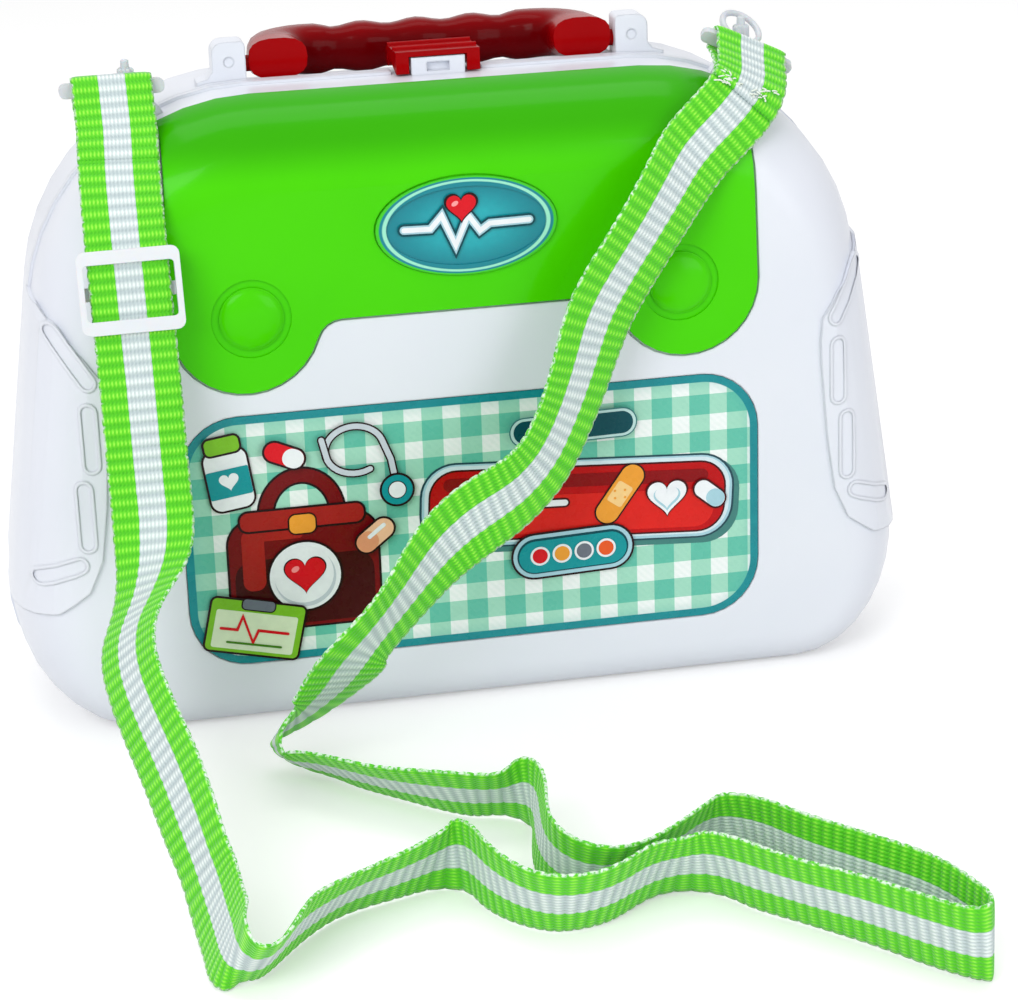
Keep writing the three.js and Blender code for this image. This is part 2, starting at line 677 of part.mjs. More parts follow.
// Four screws hold the flap from the inside
const screwSpots = [[-screw_x, screw_lower_z], [screw_x, screw_lower_z], [-screw_upper_x, screw_upper_z], [screw_upper_x, screw_upper_z]];
const screws = [];
for (const [x, z] of screwSpots) {
  const bossFront = -shell_depth + flap_skin / 2;
  const bossBack = -shell_depth + flap_skin + boss_long;
  flap = flap.add(cylinderY(boss_r, bossFront, bossBack, x, z, small_facets));
  flap = flap.subtract(cylinderY(screw_r + pin_gap, bossFront + flap_skin, bossBack + over, x, z, 16));
  front = front.subtract(cylinderY(boss_r + seat_gap, bossFront - over, bossBack + over, x, z, small_facets));
  const head = cylinderY(screw_head_r, bossBack + seat_gap, bossBack + seat_gap + screw_head_thick, x, z, small_facets);
  const shaft = cylinderY(screw_r, bossFront + 2 * flap_skin, bossBack + screw_head_thick, x, z, 16);
  screws.push(head.add(shaft));
}

// Catch block with a slot, in front of the parting line
front = front.subtract(box(-rim_cut_half, rim_cut_half, -over, 0, case_height, case_height + over));
front = front.add(box(-catch_half_width, catch_half_width, catch_front_y, catch_back_y, case_height - wall / 2, catch_top_z));
front = front.subtract(box(-catch_slot_half, catch_slot_half, catch_front_y - over, catch_front_y + catch_slot_deep,
  catch_slot_low_z, catch_slot_high_z));

// Ears and upright pins for the strap
for (const side of [-1, 1]) {
  const x = side * pin_x;
  const ear = cylinderY(ear_r, pin_y - ear_half, pin_y + ear_half, x, ear_z).subtract(form(-1, -wall, -over));
  front = front.add(ear).subtract(cylinderZ(strap_stem_r + pin_gap, strap_pin_low_z - seat_gap - strap_stem_long,
    strap_pin_top_z, x, pin_y, 16));
}
function strapPin(side) {
  const x = side * pin_x;
  return cylinderZ(strap_pin_r, strap_pin_low_z, strap_pin_shoulder_z, x, pin_y, small_facets)
    .add(cylinderZ(strap_tip_r, strap_pin_shoulder_z - strap_tip_r, strap_pin_top_z, x, pin_y, small_facets))
    .add(cylinderZ(strap_stem_r, strap_pin_low_z - strap_stem_long, strap_pin_low_z + strap_tip_r, x, pin_y, 16));
}

// Rear shell with the handle well
let rear = halfShell(1);
const wellInner = box(-well_half_width - wall, well_half_width + wall, part_gap, shell_depth - rear_inset_top, well_floor_z - wall,
  case_height - wall / 2).add(box(-well_half_width - wall, well_half_width + wall, part_gap, shell_depth, well_floor_z - wall,
  case_height)).intersect(form(1, 0, part_gap));
rear = rear.add(wellInner);
rear = rear.subtract(box(-well_half_width, well_half_width, well_front_y, shell_depth + over, well_floor_z, case_height + over));
rear = rear.subtract(box(-rim_cut_half, rim_cut_half, 0, over, case_height, case_height + over));

// Posts either side of the handle
const postPoints = [
  [post_inner_x, case_height - wall],
  [post_foot_x, case_height - wall],
  [post_foot_x, case_height + rim_proud / 2],
  [(post_foot_x + 2 * post_outer_x) / 3, case_height + post_corner_in],
  [post_outer_x, case_height + post_corner_out],
  ...arcPoints(post_outer_x - post_corner_out, post_top_z - post_corner_out, post_corner_out, 0, Math.PI / 2, 5),
  ...arcPoints(post_inner_x + post_corner_in, post_top_z - post_corner_in, post_corner_in, Math.PI / 2, Math.PI, 3),
];
for (const side of [-1, 1]) {
  let post = prismY(postPoints, post_front_y, post_back_y);
  post = post.subtract(cylinderX(stub_r + pin_gap, post_inner_x - over, stub_end_x + seat_gap, handle_axis_y, handle_axis_z));
  post = post.subtract(cylinderY(post_mark_r, post_front_y - over, post_front_y + post_mark_deep,
    (post_inner_x + post_outer_x) / 2, handle_axis_z + post_mark_r, 20));
  rear = rear.add((side > 0 ? post : mirrored(post)).subtract(form(1, -wall, -over)));
}

// Lugs that carry the latch pin
const lugPoints = [
  [latch_axis_y - lug_r, well_floor_z - wall / 2],
  [latch_axis_y + lug_r, well_floor_z - wall / 2],
  ...arcPoints(latch_axis_y, latch_axis_z, lug_r, 0, Math.PI, 10),
];
const lug = prismX(lugPoints, lug_in, lug_out);
const latchHole = cylinderX(latch_pin_r + pin_gap, -latch_half_width - over, latch_half_width + over, latch_axis_y, latch_axis_z);
rear = rear.add(lug).add(mirrored(lug)).subtract(latchHole);

// Latch: an arch over the catch, with a barrel round its pin
const barrel = arcPoints(latch_axis_y, latch_axis_z, latch_barrel_r, Math.PI / 2, -Math.PI, 18);
const barrelTop = latch_axis_z + latch_barrel_r;
const latchPoints = [
  [catch_front_y, latch_top_front_z],
  ...barrel,
  [latch_axis_y - latch_barrel_r, barrelTop - latch_plate],
  [latch_leg_back_y, latch_top_front_z - latch_plate],
  [catch_front_y, latch_top_front_z - latch_plate],
];
let latch = prismX(latchPoints, -latch_half_width, latch_half_width);
const leg = box(latch_leg_inner, latch_half_width, catch_front_y, latch_leg_back_y, latch_leg_low_z, latch_top_front_z - latch_plate / 2);
const cheekPoints = [
  [catch_front_y, latch_top_front_z - latch_plate / 2],
  [catch_front_y, latch_leg_low_z],
  [latch_leg_back_y, latch_leg_low_z],
  [latch_axis_y - latch_barrel_r, latch_axis_z],
  [latch_axis_y, barrelTop - latch_plate / 2],
];
const cheek = prismX(cheekPoints, latch_half_width - latch_plate, latch_half_width);
latch = latch.add(leg).add(mirrored(leg)).add(cheek).add(mirrored(cheek));
for (const y of [0, latch_axis_y]) {
  const z = latch_top_front_z + (barrelTop - latch_top_front_z) * (y - catch_front_y) / (latch_axis_y - catch_front_y);
  latch = latch.add(cylinderX(latch_ridge_r, -latch_half_width, latch_half_width, y, z, 16));
}
for (const side of [-1, 1]) {
  const mid = side * (latch_slot_in + latch_slot_out) / 2;
  const half = (latch_slot_out - latch_slot_in) / 2;
  latch = latch.subtract(box(mid - half, mid + half, latch_axis_y - latch_barrel_r - over, latch_axis_y + latch_barrel_r + over,
    latch_axis_z - latch_barrel_r - over, latch_axis_z + lug_r + seat_gap));
}
latch = latch.subtract(latchHole);
const latchPin = cylinderX(latch_pin_r, -latch_half_width + seat_gap, latch_half_width - seat_gap, latch_axis_y, latch_axis_z);

// Handle: one rounded section along a path that turns from the legs into the grip
const legX = (foot_inner_x + foot_outer_x) / 2;
const gripY = (grip_front_y + grip_back_y) / 2;
const handleRows = [];
function handleRow(x, y, tx, ty, mix, pinch) {
  const halfWide = (foot_outer_x - foot_inner_x) / 2 * (1 - mix) + (grip_back_y - grip_front_y) / 2 * mix - pinch;
  const halfHigh = (foot_top_z - foot_low_z) / 2 * (1 - mix) + (grip_top_z - grip_low_z) / 2 * mix - pinch;
  const midZ = (foot_top_z + foot_low_z) / 2 * (1 - mix) + (grip_top_z + grip_low_z) / 2 * mix;
  const row = [];
  for (let i = 0; i < 18; i += 1) {
    const a = 2 * Math.PI * i / 18;
    const power = section_power_share;
    const c = Math.sign(Math.cos(a)) * Math.abs(Math.cos(a)) ** power * halfWide;
    const s = Math.sign(Math.sin(a)) * Math.abs(Math.sin(a)) ** power * halfHigh;
    row.push([x - ty * c, y + tx * c, midZ + s]);
  }
  handleRows.push(row);
}
const bendStart = gripY - grip_bend_r;
for (let i = 0; i <= 3; i += 1) {
  const t = i / 3;
  handleRow(legX, foot_front_y + (bendStart - foot_front_y) * t, 0, 1, t * leg_mix_share, 0);
}
const bendSteps = 6;
for (let i = 1; i <= bendSteps; i += 1) {
  const a = Math.PI / 2 * i / bendSteps;
  handleRow(legX - grip_bend_r * (1 - Math.cos(a)), bendStart + grip_bend_r * Math.sin(a), -Math.sin(a), Math.cos(a),
    leg_mix_share + (1 - leg_mix_share) * i / bendSteps, 0);
}
const gripEndX = legX - grip_bend_r;
const gripSteps = 24;
for (let i = 1; i < gripSteps; i += 1) {
  const x = gripEndX - 2 * gripEndX * i / gripSteps;
  const fade = Math.min(1, (gripEndX - Math.abs(x)) / (bump_pitch / 4));
  handleRow(x, gripY, -1, 0, 1, bump_deep * fade * (0.5 - 0.5 * Math.cos(2 * Math.PI * x / bump_pitch)));
}
for (let i = bendSteps; i >= 1; i -= 1) {
  const a = Math.PI / 2 * i / bendSteps;
  handleRow(-legX + grip_bend_r * (1 - Math.cos(a)), bendStart + grip_bend_r * Math.sin(a), -Math.sin(a), -Math.cos(a),
    leg_mix_share + (1 - leg_mix_share) * i / bendSteps, 0);
}
for (let i = 3; i >= 0; i -= 1) {
  const t = i / 3;
  handleRow(-legX, foot_front_y + (bendStart - foot_front_y) * t, 0, -1, t * leg_mix_share, 0);
}

// A closed body through rows of equal length
function skin(rows) {
  const positions = [];
  const index = [];
  const count = rows[0].length;
  for (const row of rows) {
    for (const p of row) positions.push(...p);
  }
  for (let k = 0; k + 1 < rows.length; k += 1) {
    for (let i = 0; i < count; i += 1) {
      const a = k * count + i;
      const b = k * count + (i + 1) % count;
      index.push(a, b, a + count, b, b + count, a + count);
    }
  }
  const last = (rows.length - 1) * count;
  for (let i = 1; i + 1 < count; i += 1) {
    index.push(0, i + 1, i);
    index.push(last, last + i, last + i + 1);
  }
  const geometry = new THREE.BufferGeometry();
  geometry.setAttribute('position', new THREE.BufferAttribute(new Float32Array(positions), 3));
  geometry.setIndex(index);
  return solid(geometry);
}
const handle = skin(handleRows)
  .add(cylinderX(stub_r, legX, stub_end_x, handle_axis_y, handle_axis_z))
  .add(cylinderX(stub_r, -stub_end_x, -legX, handle_axis_y, handle_axis_z));

// Hinge knuckles and pins along the base
const hingePins = [];
for (const side of [-1, 1]) {
  const x = side * hinge_x;
  const reach = (hinge_groove_r + hinge_wall_r) / 2;
  const hole = cylinderX(hinge_pin_r + pin_gap, x - knuckle_end - over, x + knuckle_end + over, 0, hinge_z);
  front = front.add(cylinderX(knuckle_r, x - knuckle_front_half, x + knuckle_front_half, 0, hinge_z))
    .add(box(x - knuckle_front_half, x + knuckle_front_half, -reach, 0, hinge_z - arm_half, hinge_z + arm_half))
    .subtract(hole);
  for (const end of [-1, 1]) {
    const a = x + end * (knuckle_front_half + knuckle_gap);
    const b = x + end * knuckle_end;
    rear = rear.add(cylinderX(knuckle_r, Math.min(a, b), Math.max(a, b), 0, hinge_z))
      .add(box(Math.min(a, b), Math.max(a, b), 0, reach, hinge_z - arm_half, hinge_z + arm_half));
  }
  rear = rear.subtract(hole);
  hingePins.push(cylinderX(hinge_pin_r, x - knuckle_end, x + knuckle_end, 0, hinge_z));
}

// Strap clips: a ring round the pin, a neck and a flat bar, built about the ring's centre
function clipLocal(shift) {
  const ring = new THREE.TorusGeometry(ring_r, ring_wire_r, 10, 24);
  const barFront = -clip_reach - clip_bar_thick / 2;
  const bar = prismY(roundedRect(shift - clip_bar_half, shift + clip_bar_half, -clip_bar_high / 2, clip_bar_high / 2,
    clip_bar_high / 2 - seat_gap, 4), barFront, barFront + clip_bar_thick);
  return solid(ring).add(bar).add(box(-clip_neck_half, clip_neck_half, -clip_reach, -ring_r, -clip_neck_half_high, clip_neck_half_high));
}

// The sewn loop round the bar, swung forward about the bar, with room for the neck
function loopLocal(shift, swing) {
  const points = [
    [-loop_end_half, -loop_long],
    [loop_end_half, -loop_long],
    [loop_end_half, -loop_outer_r * 2],
    ...arcPoints(0, 0, loop_outer_r, -Math.PI / 4, 1.25 * Math.PI, 14),
    [-loop_end_half, -loop_outer_r * 2],
  ];
  const loop = prismX(points, shift - loop_half_width, shift + loop_half_width)
    .subtract(cylinderX(loop_inner_r, shift - loop_half_width - over, shift + loop_half_width + over, 0, 0, 20));
  const turn = new THREE.Matrix4().makeTranslation(0, -clip_reach, 0).multiply(new THREE.Matrix4().makeRotationX(swing));
  return place(loop, turn).subtract(box(-clip_neck_half - 4 * seat_gap, clip_neck_half + 4 * seat_gap, -clip_reach, -ring_r + over,
    -clip_neck_half_high - 2 * seat_gap, clip_neck_half_high + 2 * seat_gap));
}

function place(shape, matrix) {
  return shape.transform(matrix.toArray());
}
const leftFrame = new THREE.Matrix4().makeTranslation(-pin_x, pin_y, clip_left_z);
const rightFrame = new THREE.Matrix4().makeTranslation(pin_x, pin_y, clip_right_z);
rightFrame.multiply(new THREE.Matrix4().makeRotationY(clip_roll)).multiply(new THREE.Matrix4().makeRotationX(clip_tilt));

// The webbing: a flat ribbon along its table
const strapLine = strap_shares.map(([x, y, z, wx, wy, wz]) => ({
  c: new THREE.Vector3(x, y, z).multiplyScalar(strap_rise),
  w: new THREE.Vector3(wx, wy, wz).normalize(),
}));
function ribbonRow(c, w, t) {
  const n = new THREE.Vector3().crossVectors(w, t).normalize();
  return [[-1, -1], [1, -1], [1, 1], [-1, 1]].map(([a, b]) => c.clone()
    .addScaledVector(w, a * strap_half_width)
    .addScaledVector(n, b * strap_thick / 2).toArray());
}
const ribbon = strapLine.map((here, i) => {
  const before = strapLine[Math.max(0, i - 1)].c;
  const after = strapLine[Math.min(strapLine.length - 1, i + 1)].c;
  return ribbonRow(here.c, here.w, after.clone().sub(before).normalize());
});

// Slider: a frame in front of the webbing and a bar behind it
let slideRow = 0;
let walked = 0;
while (walked + strapLine[slideRow].c.distanceTo(strapLine[slideRow + 1].c) < slider_along) {
  walked += strapLine[slideRow].c.distanceTo(strapLine[slideRow + 1].c);
  slideRow += 1;
}
const slideMix = (slider_along - walked) / strapLine[slideRow].c.distanceTo(strapLine[slideRow + 1].c);
const slideC = strapLine[slideRow].c.clone().lerp(strapLine[slideRow + 1].c, slideMix);
const slideT = strapLine[slideRow].c.clone().sub(strapLine[slideRow + 1].c).normalize();
const slideW = strapLine[slideRow].w.clone().lerp(strapLine[slideRow + 1].w, slideMix).normalize();
const slideN = new THREE.Vector3().crossVectors(slideT, slideW).normalize();
const slideX = new THREE.Vector3().crossVectors(slideN, slideT).normalize();
const frontFace = -strap_thick / 2 - slider_gap - slider_bar_thick;
const backFace = strap_thick / 2 + slider_gap + slider_bar_thick;
const sliderOuter = roundedRect(-slider_half_width, slider_half_width, -slider_half_height, slider_half_height, slider_corner_r, 4);
const sliderWindow = roundedRect(-slider_window_half_width, slider_window_half_width, -slider_window_half_height,
  slider_window_half_height, slider_corner_r / 2, 3);
const sideBar = [slider_window_half_width, slider_half_width, -slider_window_half_height, slider_window_half_height];
let slider = prismY(sliderOuter, frontFace, frontFace + slider_bar_thick)
  .subtract(prismY(sliderWindow, frontFace - over, frontFace + over))
  .add(mirrorBox(sideBar[0], sideBar[1], frontFace + slider_bar_thick / 2, backFace, sideBar[2], sideBar[3]))
  .add(box(-slider_half_width, slider_half_width, backFace - slider_bar_thick, backFace, -slider_bar_half, slider_bar_half));
slider = place(slider, new THREE.Matrix4().makeBasis(slideX, slideN, slideT).setPosition(slideC));

addNode('front_shell', front, colours.shell);
addNode('rear_shell', rear, colours.shell);
addNode('front_flap', flap, colours.lime);
addNode('flap_badge', badge, colours.teal);
addNode('front_label', label, colours.label);
addNode('latch', latch, colours.red);
addNode('latch_pin', latchPin, colours.steel);
addNode('handle', handle, colours.red);
addNode('hinge_pin_left', hingePins[0], colours.steel);
addNode('hinge_pin_right', hingePins[1], colours.steel);
addNode('strap_pin_left', strapPin(-1), colours.clip);
addNode('strap_pin_right', strapPin(1), colours.clip);
addNode('strap_clip_left', place(clipLocal(clip_left_shift), leftFrame), colours.clip);
addNode('strap_clip_right', place(clipLocal(clip_right_shift), rightFrame), colours.clip);
addNode('strap_loop_left', place(loopLocal(clip_left_shift, loop_left_swing), leftFrame), colours.webbing);
addNode('strap_loop_right', place(loopLocal(clip_right_shift, loop_right_swing), rightFrame), colours.webbing);
addNode('strap', skin(ribbon), colours.webbing);
addNode('strap_slider', slider, colours.clip);
screws.forEach((screw, i) => addNode(`flap_screw_${i + 1}`, screw, colours.steel));

export default group;
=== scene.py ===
"""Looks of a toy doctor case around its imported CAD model. Lengths are in mm, scaled by MM."""
import math

import bmesh
import bpy
import numpy as np
from mathutils import Matrix, Vector


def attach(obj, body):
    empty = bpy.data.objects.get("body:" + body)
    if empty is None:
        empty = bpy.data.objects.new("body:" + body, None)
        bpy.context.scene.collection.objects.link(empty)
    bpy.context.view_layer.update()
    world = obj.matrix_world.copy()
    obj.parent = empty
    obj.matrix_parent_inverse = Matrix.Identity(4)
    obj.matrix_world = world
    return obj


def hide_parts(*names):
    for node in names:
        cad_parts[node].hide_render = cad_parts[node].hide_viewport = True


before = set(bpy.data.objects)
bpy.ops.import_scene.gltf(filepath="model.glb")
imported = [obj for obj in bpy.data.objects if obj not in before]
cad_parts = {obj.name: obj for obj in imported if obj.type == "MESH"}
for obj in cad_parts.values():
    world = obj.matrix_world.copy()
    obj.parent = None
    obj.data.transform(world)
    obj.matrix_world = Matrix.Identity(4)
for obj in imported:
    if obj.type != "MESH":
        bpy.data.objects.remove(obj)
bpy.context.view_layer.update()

MM = 0.001
scene = bpy.context.scene
scene.view_settings.view_transform = "Standard"

# Camera: lens for a frame of 1018 x 1000, the eye, and the three axes of its turn
LENS, SENSOR = 105.03, 36.0
NEAR, FAR = 0.01, 50.0
EYE = (-152.8, -889.6, 378.1)
RIGHT = (0.97927, -0.20018, -0.03095)
UP = (0.09663, 0.32738, 0.93994)
BACK = (-0.17803, -0.92344, 0.33994)
camera = bpy.data.objects.new("camera", bpy.data.cameras.new("camera"))
scene.collection.objects.link(camera)
camera.data.lens, camera.data.sensor_width, camera.data.sensor_fit = LENS, SENSOR, "HORIZONTAL"
camera.data.clip_start, camera.data.clip_end = NEAR, FAR
turn = Matrix((RIGHT, UP, BACK)).transposed().to_4x4()
camera.matrix_world = Matrix.Translation(Vector(EYE) * MM) @ turn
scene.camera = camera


# Node helpers
def linear(r, g, b):
    """A screen colour, 0 to 255, as linear values and full alpha."""
    def channel(level):
        return ((level / 255 + 0.055) / 1.055) ** 2.4 if level > 10 else level / 255 / 12.92
    return channel(r), channel(g), channel(b), 1.0


class Val:
    """A socket of a node tree with arithmetic on it."""

    def __init__(self, tree, socket):
        self.tree, self.socket = tree, socket

    def op(self, kind, *others, clamp=False):
        """A Math node on this value and the others."""
        node = self.tree.nodes.new("ShaderNodeMath")
        node.operation, node.use_clamp = kind, clamp
        for slot, value in enumerate((self,) + others):
            if isinstance(value, Val):
                self.tree.links.new(value.socket, node.inputs[slot])
            else:
                node.inputs[slot].default_value = value
        return Val(self.tree, node.outputs[0])

    def __add__(self, other):
        return self.op("ADD", other)

    def __sub__(self, other):
        return self.op("SUBTRACT", other)

    def __mul__(self, other):
        return self.op("MULTIPLY", other)

    def __truediv__(self, other):
        return self.op("DIVIDE", other)

    def over(self, other):
        return self.op("GREATER_THAN", other)

    def abs(self):
        return self.op("ABSOLUTE")

    def most(self, other):
        return self.op("MAXIMUM", other)

    def fract(self):
        return self.op("FRACT")

    def power(self, other):
        return self.op("POWER", other)

    def cosine(self):
        return self.op("COSINE")

    def unit(self):
        """The value kept between 0 and 1."""
        return self.op("ADD", 0.0, clamp=True)

    def smooth(self, low, high):
        """A soft step from 0 at low to 1 at high."""
        node = self.tree.nodes.new("ShaderNodeMapRange")
        node.interpolation_type = "SMOOTHSTEP"
        self.tree.links.new(self.socket, node.inputs["Value"])
        node.inputs["From Min"].default_value, node.inputs["From Max"].default_value = low, high
        return Val(self.tree, node.outputs[0])


class Look:
    """A material with a Principled shader and short calls for its nodes."""

    def __init__(self, name, **sockets):
        self.mat = bpy.data.materials.new(name)
        self.mat.use_nodes = True
        self.tree = self.mat.node_tree
        self.bsdf = self.tree.nodes["Principled BSDF"]
        for key, value in sockets.items():
            self.bsdf.inputs[key.replace("_", " ")].default_value = value
        self.normal = None

    def link(self, a, b):
        """A link from a Val or a socket."""
        self.tree.links.new(a.socket if isinstance(a, Val) else a, b)

    def xyz(self, attribute=None):
        """Object coordinates in millimetres, or a vector attribute as it is."""
        if attribute:
            source = self.tree.nodes.new("ShaderNodeAttribute")
            source.attribute_name = attribute
            vector, scale = source.outputs["Vector"], 1.0
        else:
            vector, scale = self.tree.nodes.new("ShaderNodeTexCoord").outputs["Object"], 1 / MM
        parts = self.tree.nodes.new("ShaderNodeSeparateXYZ")
        self.tree.links.new(vector, parts.inputs[0])
        return [Val(self.tree, out) * scale for out in parts.outputs]

    def noise(self, per_mm, detail=3.0, stretch=(1, 1, 1)):
        """Noise of that many grains a millimetre, fixed to the object."""
        coords = self.tree.nodes.new("ShaderNodeTexCoord").outputs["Object"]
        scaled = self.tree.nodes.new("ShaderNodeVectorMath")
        scaled.operation = "MULTIPLY"
        scaled.inputs[1].default_value = [s * per_mm / MM for s in stretch]
        self.tree.links.new(coords, scaled.inputs[0])
        node = self.tree.nodes.new("ShaderNodeTexNoise")
        node.inputs["Scale"].default_value, node.inputs["Detail"].default_value = 1.0, detail
        self.tree.links.new(scaled.outputs[0], node.inputs["Vector"])
        return Val(self.tree, node.outputs[0])

    def mix(self, share, a, b):
        """Colour a, and b to the share given. Either is a colour or a socket."""
        node = self.tree.nodes.new("ShaderNodeMix")
        node.data_type = "RGBA"
        self.link(share, node.inputs["Factor"])
        for value, socket in ((a, node.inputs[6]), (b, node.inputs[7])):
            if isinstance(value, tuple):
                socket.default_value = value
            else:
                self.link(value, socket)
        return node.outputs[2]

    def soften(self, radius):
        """Rounded edges in the shading, as moulded plastic has."""
        node = self.tree.nodes.new("ShaderNodeBevel")
        node.samples = 4
        node.inputs["Radius"].default_value = radius * MM
        self.normal = node.outputs[0]
        self.link(self.normal, self.bsdf.inputs["Normal"])

    def bump(self, height, depth, strength=1.0):
        """Relief of a height 0 to 1 that stands for depth in millimetres."""
        node = self.tree.nodes.new("ShaderNodeBump")
        node.inputs["Strength"].default_value = strength
        node.inputs["Distance"].default_value = depth * MM
        self.link(height, node.inputs["Height"])
        if self.normal is not None:
            self.link(self.normal, node.inputs["Normal"])
        self.normal = node.outputs[0]
        self.link(self.normal, self.bsdf.inputs["Normal"])

    def painted(self):
        """The socket that colours the shader so far."""
        return self.bsdf.inputs["Base Color"].links[0].from_socket

    def colour(self, socket):
        self.link(socket, self.bsdf.inputs["Base Color"])

    def rough(self, value):
        self.link(value, self.bsdf.inputs["Roughness"])


def plastic(name, base, deep, rough, edge=0.35, **sockets):
    """Moulded plastic: faint cloudiness, a fine skin and small scuffs in the gloss."""
    grain, scuffed = 0.10, 0.12
    look = Look(name, **sockets)
    look.soften(edge)
    look.colour(look.mix(look.noise(0.03, 2.0), base, deep))
    scuffs = look.noise(0.09, 6.0, (1, 1, 4))
    least = rough - (grain + scuffed) / 2
    look.rough((look.noise(0.5) * grain + scuffs * scuffed + least).unit())
    look.bump(look.noise(0.12, 2.0), 0.05, 0.3)
    return look


def printed(name, satin, skin, edge=0.0, **sockets):
    """A glossy print. Satin: scale, spread and least roughness. Skin: scale, detail and depth."""
    look = Look(name, **sockets)
    if edge:
        look.soften(edge)
    scale, spread, least = satin
    look.rough((look.noise(scale, 5.0) * spread + least).unit())
    scale, detail, depth = skin
    look.bump(look.noise(scale, detail), depth, 0.4)
    return look


